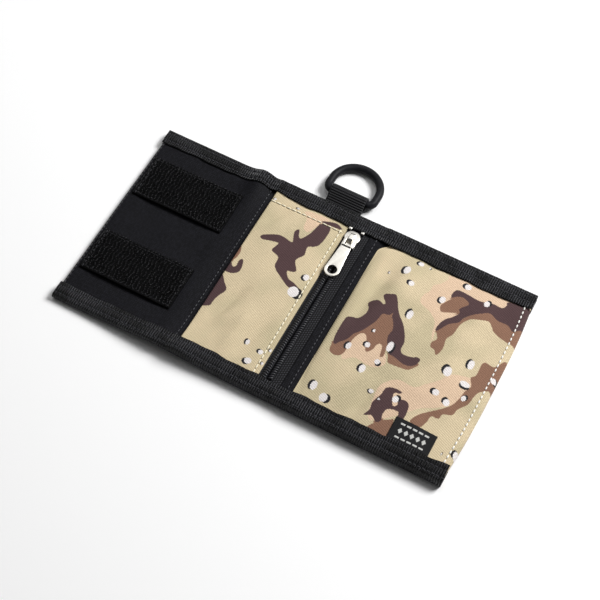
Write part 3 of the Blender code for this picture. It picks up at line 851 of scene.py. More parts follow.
def new_tree(name, sizes):
    """An empty geometry tree with a number input for each size and a material input."""
    tree = bpy.data.node_groups.new(name, "GeometryNodeTree")
    tree.interface.new_socket(name="Geometry", in_out="INPUT", socket_type="NodeSocketGeometry")
    for label in sizes:
        tree.interface.new_socket(name=label, in_out="INPUT", socket_type="NodeSocketFloat")
    tree.interface.new_socket(name="Material", in_out="INPUT", socket_type="NodeSocketMaterial")
    tree.interface.new_socket(name="Geometry", in_out="OUTPUT", socket_type="NodeSocketGeometry")
    return tree, tree.nodes.new("NodeGroupInput").outputs


def finish_tree(tree, given, instances):
    """End a tree with real geometry, smooth shading and its material."""
    real = add_node(tree, "GeometryNodeRealizeInstances", {"Geometry": instances})
    real = add_node(tree, "GeometryNodeSetShadeSmooth", {"Geometry": real})
    done = add_node(tree, "GeometryNodeSetMaterial", {"Geometry": real, "Material": given["Material"]})
    tree.links.new(done, tree.nodes.new("NodeGroupOutput").inputs[0])
    return tree


def grow(name, tree, base, values):
    """Run a tree on a base mesh with its named inputs and keep the result as a plain mesh."""
    made = bpy.data.objects.new(name, base)
    bpy.context.scene.collection.objects.link(made)
    run = made.modifiers.new("grow", "NODES")
    run.node_group = tree
    for item in tree.interface.items_tree:
        if item.in_out == "INPUT" and item.name in values:
            run[item.identifier] = values[item.name]
    mesh = bpy.data.meshes.new_from_object(made.evaluated_get(bpy.context.evaluated_depsgraph_get()))
    made.modifiers.remove(run)
    made.data = mesh
    mesh.name = name
    if not len(mesh.polygons):
        raise RuntimeError(f"{name} came out empty")
    return made


def bead_tree(name, sizes, segments, rings):
    """Rounded beads a pitch apart along every line of the base mesh; sizes name a bead's three dimensions.

    A tree with a Lean input turns its beads by that about Z, and one without turns them along the line.
    """
    tree, given = new_tree(name, dict.fromkeys(("Pitch", *sizes)))
    line = add_node(tree, "GeometryNodeMeshToCurve", {"Mesh": given["Geometry"]})
    marks = add_node(tree, "GeometryNodeResampleCurve", {"Curve": line, "Length": given["Pitch"]}, mode="LENGTH")
    size = add_node(tree, "ShaderNodeCombineXYZ", {i: given[label] for i, label in enumerate(sizes[:3])})
    ball = add_node(tree, "GeometryNodeMeshUVSphere", {"Segments": segments, "Rings": rings, "Radius": 0.5}, "Mesh")
    bead = add_node(tree, "GeometryNodeTransform", {"Geometry": ball, "Scale": size})
    if "Lean" in sizes:
        turn = add_node(tree, "ShaderNodeCombineXYZ", {2: given["Lean"]})
    else:
        turn = add_node(tree, "FunctionNodeAlignRotationToVector", {
            "Vector": add_node(tree, "GeometryNodeInputTangent")}, axis="X")
    return finish_tree(tree, given, add_node(tree, "GeometryNodeInstanceOnPoints", {
        "Points": marks, "Instance": bead, "Rotation": turn}))


def stitch_tree():
    """Short rounded threads laid end to end."""
    return bead_tree("stitch_run", ("Length", "Width", "Width"), 8, 6)


def coil_tree():
    """One row of coil turns, each a bent bead of monofilament."""
    return bead_tree("coil_row", ("Reach", "Thickness", "Height", "Lean"), 12, 7)


def hook_tree():
    """A cut hook on every point of the base mesh, each turned and sized a little differently."""
    tree, given = new_tree("hook_field", ("Radius", "Wire"))
    arc = add_node(tree, "GeometryNodeCurveArc", {
        "Resolution": 6, "Radius": given["Radius"], "Start Angle": radians(-30), "Sweep Angle": radians(235)},
        mode="RADIUS")
    round_wire = add_node(tree, "GeometryNodeCurvePrimitiveCircle", {
        "Resolution": 4, "Radius": given["Wire"]}, mode="RADIUS")
    wire = add_node(tree, "GeometryNodeCurveToMesh", {
        "Curve": arc, "Profile Curve": round_wire, "Fill Caps": True})
    upright = add_node(tree, "GeometryNodeTransform", {
        "Geometry": wire, "Rotation": (radians(90), 0.0, radians(90))})
    turn = add_node(tree, "FunctionNodeRandomValue", {
        0: (-0.35, -0.35, -0.6), 1: (0.35, 0.35, 0.6), "Seed": 4}, data_type="FLOAT_VECTOR")
    size = add_node(tree, "FunctionNodeRandomValue", {2: 0.75, 3: 1.15, "Seed": 9}, 1, data_type="FLOAT")
    return finish_tree(tree, given, add_node(tree, "GeometryNodeInstanceOnPoints", {
        "Points": given["Geometry"], "Instance": upright, "Rotation": turn, "Scale": size}))


def shared_tree(make):
    """Make a tree the first time that it is asked for."""
    trees = {stitch_tree: "stitch_run", coil_tree: "coil_row", hook_tree: "hook_field"}
    return bpy.data.node_groups.get(trees[make]) or make()


def lines_mesh(name, runs):
    """A mesh of separate open lines from runs of points in millimetres."""
    points, edges = [], []
    for run in runs:
        first = len(points)
        points += to_frame(run).tolist()
        edges += [(first + i, first + i + 1) for i in range(len(run) - 1)]
    mesh = bpy.data.meshes.new(name)
    mesh.from_pydata(points, edges, [])
    return mesh


def stitch_rows(name, runs, surface, pitch=None, length=0.86, width=0.55):
    """One piece of thread along several runs; length is its share of the pitch."""
    pitch = pitch or cloth_sizes().stitch_pitch / MM
    return grow(name, shared_tree(stitch_tree), lines_mesh(name, runs), {
        "Pitch": pitch * MM, "Length": pitch * length * MM, "Width": width * MM, "Material": surface})


def run_over(x, y, height, lift):
    """A stitch line over a surface, from matching lists of x and y; lift sets the thread on the cloth."""
    x, y = np.broadcast_arrays(np.asarray(x, float), np.asarray(y, float))
    return np.stack([x, y, height(x, y) + lift], axis=1)


# ---------------------------------------------------------------- cloth


def settle(made, nodes=(), body=None):
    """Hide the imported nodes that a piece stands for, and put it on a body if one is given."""
    if body:
        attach(made, body)
    if nodes:
        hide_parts(*nodes)
    return made


def settle_cloth(made, nodes, body=None):
    """Settle a piece that is a sheet of cloth; the same as settle."""
    settle(made, nodes, body)
    return made


def fall_off(distance, radius, drop):
    """How far a cloth's edge has turned down at a distance in from its end."""
    t = np.clip(1.0 - distance / radius, 0.0, 1.0)
    return drop * (1.0 - np.sqrt(np.clip(1.0 - t * t, 0.0, 1.0)))


def towards_end(end, radius, start, pitch):
    """Values from start to end that crowd together where the cloth turns down over radius."""
    side = 1.0 if end > start else -1.0
    turn = end - side * radius * (1.0 - np.sin(np.linspace(0.0, pi / 2, 9)))
    return np.concatenate([steps(start, turn[0], pitch)[:-1], turn])


def make_shell():
    """The outer shell: printed canvas under everything, from one end of the wallet to the other."""
    ys = steps(CLOTH_LOW, CLOTH_HIGH, 1.2)
    repeats = tuple((-k * (LENGTH - RIGHT_FOLD + 10.0), True) for k in range(3))
    left_end = span("outer_shell_left")[0][0]
    right_end = span("outer_shell_right")[1][0]
    for name, x0, x1, bend, nodes in (
        ("shell_flap_side", left_end, SPLIT, bend_at_left, ("outer_shell_left", "outer_shell_middle")),
        ("shell_card_side", SPLIT, right_end, bend_at_right, ("outer_shell_right",)),
    ):
        made = cloth_panel(name, steps(x0, x1, 1.0), ys, shell_height, CLOTH, printed_canvas(), end_bulge)
        print_on(made, CARD_PRINT, CARD_CHIPS, repeats, (LEFT_FOLD, RIGHT_FOLD))
        settle_cloth(bend(made), nodes)


def make_lining():
    """The inner wall; its left end turns down to the shell and closes the note compartment."""
    end, far = span("lining_left")[0][0], span("lining_right")[1][0]
    turn = 1.3

    def flap_side(x, y):
        return lining_height(x, y) - fall_off(x - end, turn, LINING_TOP - SHELL_TOP - CLOTH)

    xs = towards_end(end, turn, SPLIT, 1.0)[::-1]
    made = cloth_panel("lining_flap_side", xs, steps(CLOTH_LOW, CLOTH_HIGH, 1.0), flap_side, CLOTH, lining_nylon())
    settle_cloth(bend_at_left(made), ("lining_left", "lining_middle"))
    made = cloth_panel("lining_card_side", steps(SPLIT, far, 2.0), steps(CLOTH_LOW, CLOTH_HIGH, 2.0),
                       lining_height, CLOTH, lining_nylon())
    settle_cloth(bend_at_right(made), ("lining_right",))


# ---------------------------------------------------------------- bindings


BINDING = 0.45            # thickness of the ribbon
ROWS = (2.5, 6.5)         # its two lines of stitches, in from the folded edge


def lip_width(x, upper):
    """Width of the binding's visible face; the ribbon was sewn on by hand and wanders a little."""
    if upper:
        wide = np.interp(x, (0, 46, 61, 68, 81, 121, 130, 152, 199, 207, 210),
                         (8.6, 8.7, 7.4, 8.3, 9.4, 9.4, 10.0, 10.6, 11.0, 9.6, 9.2))
    else:
        wide = np.interp(x, (0, 60, 150, 200, 210), (8.7, 9.2, 8.9, 9.5, 10.0))
    return (wide + 0.26 * np.sin(x / 4.1) + 0.16 * np.sin(x / 1.9)) * cloth_sizes().binding_width / (9.0 * MM)


def top_layer(x, y):
    """Upper face of whatever lies under a binding's upper lip."""
    z = lining_height(x, y)
    z = z + (coin_height(x, y) - z) * ease((x - POCKET_LEFT + 5.2) / 5.6)
    z = z + (TAPE_TOP + 0.35 + rise(x, y) - z) * ease((x - POCKET_RIGHT) / 1.6)
    z = z + (facing_height(x, y) - z) * ease((x - FACING_LEFT + 1.4) / 1.6)
    return z + (card_height(x, y) - z) * ease((x - MOUTH + 1.2) / 1.6)


def binding_top(x, a, upper):
    """Upper face of a binding, a millimetres in from its folded edge."""
    y = HEIGHT - a if upper else a
    wide = lip_width(x, upper)
    z = top_layer(x, y) + 0.24 + BINDING + 0.38 * np.sin(pi * np.clip(a / wide, 0.0, 1.0)) ** 0.7
    pitch = cloth_sizes().stitch_pitch / MM
    for row in ROWS:
        z = z - hump(a, row, 0.9) * (0.44 - 0.2 * np.cos(2 * pi * x / pitch))
    return z + 0.14 * crumple(x, y, 41, 9.0)


def binding_strip(name, x0, x1, upper, low, top):
    """Ribbon folded round an edge: a U section from its upper lip round the edge to its lower lip."""
    xs = steps(x0, x1, 0.5)[:, None]
    wide = lip_width(xs, upper)
    lip = np.linspace(1.0, 0.0, 13)[None, :-1]
    radius = np.minimum(1.5, 0.5 * (top(xs, 1.5) - low))
    a_top = radius + (wide - radius) * lip
    z_top = top(xs, a_top) - BINDING / 2
    turn = np.linspace(0.0, pi, 9)[None, :]
    y_edge = HEIGHT if upper else 0.0
    z_low = low + rise(xs, y_edge) + BINDING / 2
    z_high = top(xs, radius) - BINDING / 2
    edge = BINDING / 2
    a_nose = edge + (radius - edge) * (1.0 - np.sin(turn))
    z_nose = z_low + (z_high - z_low) * (1.0 + np.cos(turn)) / 2
    a_low = radius + (wide - 0.6 - radius) * np.linspace(0.12, 1.0, 6)[None, :]
    z_under = np.broadcast_to(z_low, a_low.shape)
    a = np.concatenate([a_top, a_nose, a_low], axis=1)
    z = np.concatenate([z_top, z_nose, z_under], axis=1)
    section = offset_section(np.stack([a, z], axis=-1), BINDING)
    count = section.shape[1]
    y = HEIGHT - section[..., 0] if upper else section[..., 0]
    x = np.broadcast_to(xs, y.shape)
    points = np.stack([x, y, section[..., 1]], axis=-1).reshape(-1, 3)
    faces = tube_faces(len(xs), count) + strip_caps(len(xs), count, count // 2)
    return turn_outwards(mesh_piece(name, points, faces, grosgrain_ribbon()))


def make_bindings():
    """Six lengths of ribbon: round the shell's top edge, the inner wall's top edge and the whole bottom edge."""
    rear_top = span("rear_binding_left")[1][2]
    front_low = span("front_binding_left")[0][2]

    def rear(x, a):
        return rear_top + rise(x, np.broadcast_to(HEIGHT - a, np.broadcast(x, a).shape))

    def front(x, a):
        return binding_top(x, a, True)

    def bottom(x, a):
        return binding_top(x, a, False)

    sides = (
        ("flap_side", 0.0, SPLIT, bend_at_left, ("left", "middle")),
        ("card_side", SPLIT, LENGTH, bend_at_right, ("right",)),
    )
    for row, upper, low, top in (
        ("rear", True, 0.0, rear), ("front", True, front_low, front), ("bottom", False, 0.0, bottom),
    ):
        for side, x0, x1, bend, parts in sides:
            made = binding_strip(f"{row}_binding_{side}", x0, x1, upper, low, top)
            settle(bend(made), [f"{row}_binding_{part}" for part in parts])


# ---------------------------------------------------------------- pockets and tapes


COIN_SIDE_SEAM = POCKET_RIGHT - 2.6       # the topstitch beside the zip
COIN_TOP_SEAM = 100.7                     # the topstitch that closes the coin pocket's upper end


def make_coin_pocket():
    """Printed front of the coin pocket, folded under along the zip, and the plain facing on the zip's far side."""
    def front(x, y):
        edges = fall_off(x - POCKET_LEFT, 0.9, 0.45) + fall_off(POCKET_RIGHT - x, 1.0, 0.5)
        groove = hump(x, COIN_SIDE_SEAM, 0.7) * ease((COIN_TOP_SEAM + 1.3 - y) / 2) + hump(y, COIN_TOP_SEAM, 0.7)
        return coin_height(x, y) - edges - 0.22 * groove

    middle = (POCKET_LEFT + POCKET_RIGHT) / 2
    xs = np.concatenate([towards_end(POCKET_LEFT, 0.9, middle, 0.6)[::-1],
                         towards_end(POCKET_RIGHT, 1.0, middle, 0.6)[1:]])
    made = cloth_panel("coin_pocket_front", xs, steps(CLOTH_LOW, CLOTH_HIGH, 0.6), front, CLOTH, printed_canvas())
    print_on(made, COIN_PRINT, COIN_CHIPS)
    settle_cloth(made, ("zip_pocket_front",), "middle_panel")

    far = span("zip_facing")[1][0]

    def facing(x, y):
        return facing_height(x, y) - fall_off(x - FACING_LEFT, 0.7, 0.35)

    xs = towards_end(FACING_LEFT, 0.7, far, 0.9)[::-1]
    made = cloth_panel("zip_facing_strip", xs, steps(CLOTH_LOW, CLOTH_HIGH, 1.0), facing, CLOTH, lining_nylon())
    settle_cloth(bend_at_right(made), ("zip_facing",))


END_TURN, END_DROP = 2.4, 4.2             # the canvas turns down by END_DROP over END_TURN at the right end


def make_card_pocket():
    """Printed canvas brought round the right end and laid back over the panel; its rolled mouth faces the zip."""
    roll = 5.0

    def front(x, y):
        mouth = fall_off(x - MOUTH, roll, 1.9)
        hem = 0.16 * hump(x, MOUTH + 3.2, 0.5)
        corner = 0.3 * ease((y - 88.0) / 16.0) * hump(x, MOUTH, 5.0)
        rolled = np.maximum(card_height(x, y) - mouth, CARD_TOP - 0.15 + rise(x, y))
        return rolled - hem - corner - fall_off(CARD_END - x, END_TURN, END_DROP)

    middle = (MOUTH + CARD_END) / 2
    xs = np.concatenate([towards_end(MOUTH, roll, middle, 0.62)[::-1],
                         towards_end(CARD_END, END_TURN, middle, 0.62)[1:]])
    made = cloth_panel("card_pocket_cover", xs, steps(CLOTH_LOW, CLOTH_HIGH, 0.62), front, CLOTH, printed_canvas(),
                       cover_shift)
    print_on(made, CARD_PRINT, CARD_CHIPS)
    settle_cloth(bend_at_right(made), ("card_pocket_front", "card_pocket_mouth"))


def make_hook_and_loop():
    """Hook tapes on the flap with their cut hooks, and the brushed loop tapes under the card panel."""
    pitch = hardware_sizes().hook_pitch / MM
    rng = np.random.default_rng(3)
    for side in ("upper", "lower"):
        low, high = span(f"hook_tape_{side}")
        x0, y0, x1, y1 = low[0], low[1], high[0], high[1]

        def backing(x, y, x0=x0, x1=x1, y0=y0, y1=y1):
            edge = np.minimum(np.minimum(x - x0, x1 - x), np.minimum(y - y0, y1 - y))
            stitched = 0.14 * hump(edge, 1.5, 0.4)
            lifted = 1.1 * ease((y0 + 2.2 - y) / 2.2) * ease(4.0 * np.minimum(x - x0, x1 - x) / (x1 - x0))
            return lining_height(x, y) + 0.92 - fall_off(edge, 0.45, 0.25) - stitched + lifted

        made = cloth_panel(f"hook_backing_{side}", steps(x0, x1, 0.75), steps(y0, y1, 0.75),
                           backing, 0.62, hook_nylon())
        settle(made, (f"hook_tape_{side}",), "left_flap")
        x, y = np.meshgrid(steps(x0 + 0.8, x1 - 0.8, 1.9), steps(y0 + 1.4, y1 - 1.0, pitch), indexing="ij")
        x = x + rng.uniform(-0.22, 0.22, x.shape) + 0.3 * np.sin(y * 0.9)
        y = y + rng.uniform(-0.2, 0.2, y.shape)
        feet = np.stack([x, y, backing(x, y) + 0.34], axis=-1).reshape(-1, 3)
        base = bpy.data.meshes.new("feet")
        base.from_pydata(to_frame(feet).tolist(), [], [])
        made = grow(f"hooks_{side}", shared_tree(hook_tree), base, {
            "Radius": 0.64 * MM, "Wire": 0.23 * MM, "Material": cut_hooks()})
        settle(made, (), "left_flap")
        low, high = span(f"loop_tape_{side}")
        made = cloth_panel(f"loop_pile_{side}", steps(low[0], high[0], 1.5), steps(low[1], high[1], 1.5),
                           lambda x, y: np.full(x.shape, high[2]), high[2] - 0.03, loop_pile())
        settle(made, (f"loop_tape_{side}",), "right_panel")


def make_zip():
    """Two tapes, two rows of coil and the two top stops."""
    pitch = hardware_sizes().tooth_pitch / MM
    for side, name in ((-1, "left"), (1, "right")):
        frame["nodes"][f"zip_tape_{name}"].material_slots[0].material = zip_tape_weave()
        low, high = span(f"zip_coil_{name}")
        outer = high[0] if side > 0 else low[0]
        inner = ZIP_X + side * 0.30
        middle = (low[2] + high[2]) / 2
        start = low[1] + 0.5 + (pitch / 2 if side > 0 else 0.0)
        row = [((outer + inner) / 2, y, middle) for y in (start, high[1] - 0.5)]
        made = grow(f"coil_{name}", shared_tree(coil_tree), lines_mesh("row", [row]), {
            "Pitch": pitch * MM, "Reach": abs(outer - inner) * MM, "Thickness": 0.74 * pitch * MM,
            "Height": (high[2] - low[2]) * MM, "Lean": side * 0.3, "Material": coil_nylon()})
        settle(made, (f"zip_coil_{name}",), "middle_panel")
        made = rounded_copy(f"top_stop_{name}", f"zip_top_stop_{name}", 0.35, plated_nickel())
        settle(made, (f"zip_top_stop_{name}",), "middle_panel")


def around(centre, radius, start, end, count):
    """Points of an arc in degrees, both ends included."""
    turns = np.radians(np.linspace(start, end, count))
    return [(centre[0] + radius * cos(t), centre[1] + radius * sin(t)) for t in turns]


def mirrored(half, centre):
    """A closed outline from its right half, given as distances from a middle line."""
    return [(centre + x, y) for x, y in half] + [(centre - x, y) for x, y in reversed(half)]


def cast_plate(name, outlines, low, high, edge, across="Z"):
    """A plate with rounded edges from closed outlines, the first its rim and the others its holes.

    Across Z the outlines are X and Y; across X they are Y and Z.
    """
    curve = bpy.data.curves.new(name, "CURVE")
    curve.dimensions, curve.fill_mode = "2D", "BOTH"
    curve.extrude = ((high - low) / 2 - edge) * MM
    curve.bevel_depth, curve.bevel_resolution, curve.offset = edge * MM, 2, -edge * MM
    for outline in outlines:
        spline = curve.splines.new("POLY")
        spline.points.add(len(outline) - 1)
        for point, (u, v) in zip(spline.points, outline):
            point.co = (u * MM, v * MM, 0.0, 1.0)
        spline.use_cyclic_u = True
    holder = bpy.data.objects.new(name, curve)
    bpy.context.scene.collection.objects.link(holder)
    mesh = bpy.data.meshes.new_from_object(holder.evaluated_get(bpy.context.evaluated_depsgraph_get()))
    bpy.data.objects.remove(holder)
    bpy.data.curves.remove(curve)
    middle = (low + high) / 2 * MM
    if across == "X":
        place = Matrix(((0, 0, 1, middle), (1, 0, 0, 0), (0, 1, 0, 0), (0, 0, 0, 1)))
    else:
        place = Matrix.Translation((0.0, 0.0, middle))
    mesh.transform(Matrix.Translation(CORNER) @ place)
    return mesh


def cast_piece(name, plates, surface):
    """One piece from several cast plates that run into each other."""
    bm = bmesh.new()
    for mesh in plates:
        bm.from_mesh(mesh)
        bpy.data.meshes.remove(mesh)
    bmesh.ops.remove_doubles(bm, verts=bm.verts, dist=2e-6)
    bmesh.ops.recalc_face_normals(bm, faces=bm.faces)
    mesh = bpy.data.meshes.new(name)
    bm.to_mesh(mesh)
    bm.free()
    mesh.shade_smooth()
    mesh.set_sharp_from_angle(angle=radians(32))
    return piece_of(name, mesh, surface)


def make_slider():
    """Plated slider and its pull tab: cast plates with rounded edges, a crown and a bail that swings in it."""
    pivot = joint_at("pull_tab_swing")
    low, high = span("slider_body")
    y, upper = (low[1] + high[1]) / 2, high[2] - 2.4      # the crown's middle and the upper plate's face
    narrow, crown, plate = 3.3, 2.6, 0.6
    shoulder = around((0.2, high[1] - 3.9), 3.9, -14, 84, 12)
    plan = mirrored([(narrow - 0.4, low[1] + 0.1), (narrow, low[1] + 0.5), (narrow, y - 0.9)] + shoulder, ZIP_X)
    arch = [(a, min(b, high[2])) for a, b in around((y, upper - 0.3), 3.1, 0, 180, 25)]
    tunnel = mirrored([(1.3, upper + 0.1), (1.3, upper + 0.9), (0.9, upper + 1.3)], y)
    wedge = mirrored([(0.3, high[1] - 5.0), (0.3, high[1] - 1.7)], ZIP_X)
    plates = [
        cast_plate("upper_plate", [plan], upper - plate, upper, 0.22),
        cast_plate("lower_plate", [plan], low[2], low[2] + 0.4, 0.12),
        cast_plate("crown", [arch, tunnel], ZIP_X - crown / 2, ZIP_X + crown / 2, 0.3, "X"),
        cast_plate("wedge", [wedge], low[2] + 0.2, upper - 0.3, 0.05),
    ]
    for start in (ZIP_X + 2.9, ZIP_X - 3.4):
        flange = [(start, low[1] + 0.2), (start + 0.5, low[1] + 0.2), (start + 0.5, y - 0.6), (start, y - 0.6)]
        plates.append(cast_plate("flange", [flange], upper - 2.2, upper - 0.2, 0.1))
    settle(cast_piece("zip_slider", plates, plated_nickel()), ("slider_body",), "slider")

    low, high = span("pull_tab")
    end, neck = (high[0] - low[0]) / 2, 2.65
    grip = around((0.0, low[1] + end), end, -90, 12, 16)
    shank = [(neck + 0.15, pivot[1] - 6.5), (neck, pivot[1] - 5.2)]
    side = [(neck + 0.1, pivot[1] - 6.6), (neck - 0.1, pivot[1] - 4.0), (neck - 0.3, high[1] - 0.5),
            (neck - 0.7, high[1])]
    window = [(0.9, pivot[1] - 5.3), (1.6, pivot[1] - 4.7), (1.6, pivot[1] - 0.6), (1.3, pivot[1] - 0.35)]
    hole = around((ZIP_X, low[1] + end), 2.45, 0, 345, 24)
    made = cast_piece("zip_pull", [
        cast_plate("tab", [mirrored(grip + shank, ZIP_X), hole], high[2] - 0.95, high[2], 0.25),
        cast_plate("bail", [mirrored(side, ZIP_X), mirrored(window, ZIP_X)], high[2] - 0.7, high[2], 0.2),
    ], plated_nickel())
    settle(made, ("pull_tab",), "pull")


def label_figure(u, v):
    """Woven figure of the label: two dashed lines and a row of small diamonds; 1 on the figure, 0 on the ground."""
    repeats = 7                           # across the label; the first and the last stay plain
    across, along = np.abs(v - 0.5), np.abs(np.mod(u * repeats, 1.0) - 0.5)
    dashes = (np.abs(across - 0.29) < 0.035) & (along < 0.36)
    diamonds = along * 0.9 + across * 2.6 < 0.33
    return (dashes | diamonds) & (u > 1 / repeats) & (u < 1 - 1 / repeats)


def make_label():
    """Woven side label, its lower end caught in the bottom binding."""
    low, high = span("side_label")
    foot = low[1] - 2.0

    def top(x, y):
        ends = np.minimum(np.minimum(x - low[0], high[0] - x), high[1] - y)
        return card_height(x, y) + 0.50 + 0.12 * np.sin(x / 2.3) - fall_off(ends, 0.35, 0.2)

    made = cloth_panel("woven_side_label", steps(low[0], high[0], 0.22), steps(foot, high[1], 0.22),
                       top, 0.26, woven_label())
    x, y = places_of(made)
    hidden = 1.2                          # of the label's foot lies under the binding's lip
    v = (y - foot - hidden) / (high[1] - foot - hidden)
    store(made, "figure", label_figure((x - low[0]) / (high[0] - low[0]), v))
    settle(made, ("side_label",), "right_panel")


# ---------------------------------------------------------------- ring and webbing


def make_webbing():
    """Webbing folded round the ring's bar: both strands leave the seam together, part, and go round the bar."""
    pivot, bar = joint_at("webbing_flex"), joint_at("ring_swing")
    low, high = span("webbing_loop")
    thick, root = 0.9, 0.46
    radius = high[1] - bar[1] - thick / 2 - 0.05
    dy, dz = bar[1] - pivot[1], bar[2] - pivot[2]
    lean, gap = atan2(dz, dy), hypot(dy, dz)
    open_angle = pi / 2 + asin((radius - root) / gap)
    turns = np.linspace(open_angle, -open_angle, 90)
    loop_y, loop_z = gap + radius * np.cos(turns), radius * np.sin(turns)
    share = np.linspace(0.0, 1.0, 40)[:-1]
    top_y, top_z = share * loop_y[0], root + share * (loop_z[0] - root)
    along = np.concatenate([top_y, loop_y, top_y[::-1]])
    above = np.concatenate([top_z, loop_z, -top_z[::-1]])
    y = pivot[1] + along * cos(lean) - above * sin(lean)
    z = pivot[2] + along * sin(lean) + above * cos(lean)
    run = np.concatenate([[0.0], np.cumsum(np.hypot(np.diff(y), np.diff(z)))])
    rib = thick + 0.34 * np.cos(2 * pi * run / 1.25)
    xs = np.concatenate([[low[0]], steps(low[0] + 0.35, high[0] - 0.35, 0.8), [high[0]]])
    edge = np.minimum(xs - low[0], high[0] - xs)
    slim = np.where(edge < 0.3, 0.55, 1.0)
    path = np.broadcast_to(np.stack([y, z], -1), (len(xs), len(y), 2))
    section = offset_section(path, rib[None, :, None] * slim[:, None, None])
    count = section.shape[1]
    x = np.broadcast_to(xs[:, None], section.shape[:2])
    points = np.stack([x, section[..., 0], section[..., 1]], axis=-1).reshape(-1, 3)
    faces = tube_faces(len(xs), count) + strip_caps(len(xs), count, count // 2)
    made = turn_outwards(mesh_piece("ribbed_webbing", points, faces, nylon_webbing()))
    settle(made, ("webbing_loop",), "webbing_tab")


def make_ring():
    """Moulded D-ring: a straight bar with round corners and a half-round bow, which droops to the table."""
    bar = joint_at("ring_swing")
    low, high = span("d_ring")
    wire = hardware_sizes().ring_wire / MM
    half = (high[0] - low[0] - wire) / 2
    centre = (low[0] + high[0]) / 2
    reach_out = high[1] - bar[1] - wire / 2
    droop = asin((bar[2] - wire / 2 - 0.02) / reach_out)
    out = reach_out / cos(droop)
    corner, bow = 3.4, out - half
    turns = {name: np.radians(np.linspace(a, b, n, endpoint=False)) for name, a, b, n in (
        ("first", -90, 0, 10), ("bow", 0, 180, 56), ("last", 180, 270, 10))}
    across = np.concatenate([
        np.linspace(-half + corner, half - corner, 16, endpoint=False),
        half - corner + corner * np.cos(turns["first"]),
        half * np.cos(turns["bow"]),
        -half + corner + corner * np.cos(turns["last"])])
    ahead = np.concatenate([
        np.zeros(16), corner + corner * np.sin(turns["first"]),
        bow + half * np.sin(turns["bow"]), corner + corner * np.sin(turns["last"])])
    line = np.stack([across, ahead], -1)
    tangent = np.roll(line, -1, 0) - np.roll(line, 1, 0)
    tangent /= np.linalg.norm(tangent, axis=1, keepdims=True)
    normal = np.stack([tangent[:, 1], -tangent[:, 0]], -1)
    spokes = np.linspace(0.0, 2 * pi, 20, endpoint=False)
    ring = line[:, None, :] + wire / 2 * np.cos(spokes)[None, :, None] * normal[:, None, :]
    lift = np.broadcast_to(wire / 2 * np.sin(spokes), ring.shape[:2])
    y = bar[1] + ring[..., 1] * cos(droop) + lift * sin(droop)
    z = bar[2] - ring[..., 1] * sin(droop) + lift * cos(droop)
    points = np.stack([centre + ring[..., 0], y, z], axis=-1).reshape(-1, 3)
    faces = tube_faces(len(line), len(spokes), closed=True)
    made = turn_outwards(mesh_piece("moulded_d_ring", points, faces, moulded_acetal()))
    settle(made, ("d_ring",), "ring")


# ---------------------------------------------------------------- stitching


def make_stitching():
    """Every visible seam, grouped by thread colour and by what it moves with."""
    cream, white, black = (
        thread("cream_polyester_thread", "#f3ebd2", 0.6), thread("white_polyester_thread", "#f4f2ec", 0.6),
        thread("black_polyester_thread", "#3a3a3e", 0.34))
    cream_runs = [
        run_over(steps(POCKET_LEFT + 1.4, COIN_SIDE_SEAM, 2.0), COIN_TOP_SEAM, coin_height, 0.06),
        run_over(COIN_SIDE_SEAM, steps(10.0, COIN_TOP_SEAM, 2.0), coin_height, 0.06),
    ]
    made = stitch_rows("pocket_topstitch", cream_runs, cream, pitch=2.9, length=0.98, width=0.8)
    settle(made, (), "middle_panel")

    def end_height(x, y):
        return card_height(x, y) - fall_off(CARD_END - x, END_TURN, END_DROP)

    run = run_over(CARD_END - 3.2, steps(11.0, 104.5, 2.0), end_height, 0.08)
    run[:, 0] += end_bulge(run[:, 0], run[:, 1])
    made = stitch_rows("end_topstitch", [run], white, pitch=2.7, length=0.8, width=0.85)
    settle(made, (), "right_panel")

    flap, cards = [], []
    for upper in (True, False):
        for row in ROWS:
            for x0, x1, runs in ((0.8, SPLIT, flap), (SPLIT, LENGTH - 0.8, cards)):
                x = steps(x0, x1, 1.0)
                y = HEIGHT - row if upper else row
                runs.append(np.stack([x, np.full(x.shape, y), binding_top(x, row, upper) + 0.08], axis=1))
    flap.append(run_over(1.5, steps(10.0, 105.0, 2.0), lining_height, 0.02))
    flap.append(run_over(64.5, steps(10.0, 106.0, 2.0), lining_height, 0.08))
    settle(bend_at_left(stitch_rows("flap_side_stitches", flap, black, width=0.7)))
    settle(bend_at_right(stitch_rows("card_side_stitches", cards, black, width=0.7)))

    zip_runs = [run_over(125.5, steps(10.5, 104.5, 2.0), facing_height, 0.06)]
    settle(stitch_rows("facing_stitches", zip_runs, black, width=0.75), (), "middle_panel")
    tape_runs = []
    for name in ("upper", "lower"):
        low, high = span(f"hook_tape_{name}")
        x0, y0, x1, y1 = low[0] + 1.5, low[1] + 1.5, high[0] - 1.5, high[1] - 1.5
        for x, y in ((steps(x0, x1, 2.0), y0), (x1, steps(y0, y1, 2.0)),
                     (steps(x1, x0, 2.0), y1), (x0, steps(y1, y0, 2.0))):
            tape_runs.append(run_over(x, y, lambda u, v: lining_height(u, v) + 0.85, 0.08))
    settle(stitch_rows("hook_tape_stitches", tape_runs, black, width=0.42), (), "left_flap")


# ---------------------------------------------------------------- stage


def lamp(name, place, size, power):
    """A square soft lamp turned to the wallet's middle."""
    data = bpy.data.lights.new(name, "AREA")
    data.size, data.energy = size, power
    made = bpy.data.objects.new(name, data)
    made.location = place
    made.rotation_euler = (-Vector(place)).to_track_quat("-Z", "Y").to_euler()
    bpy.context.scene.collection.objects.link(made)


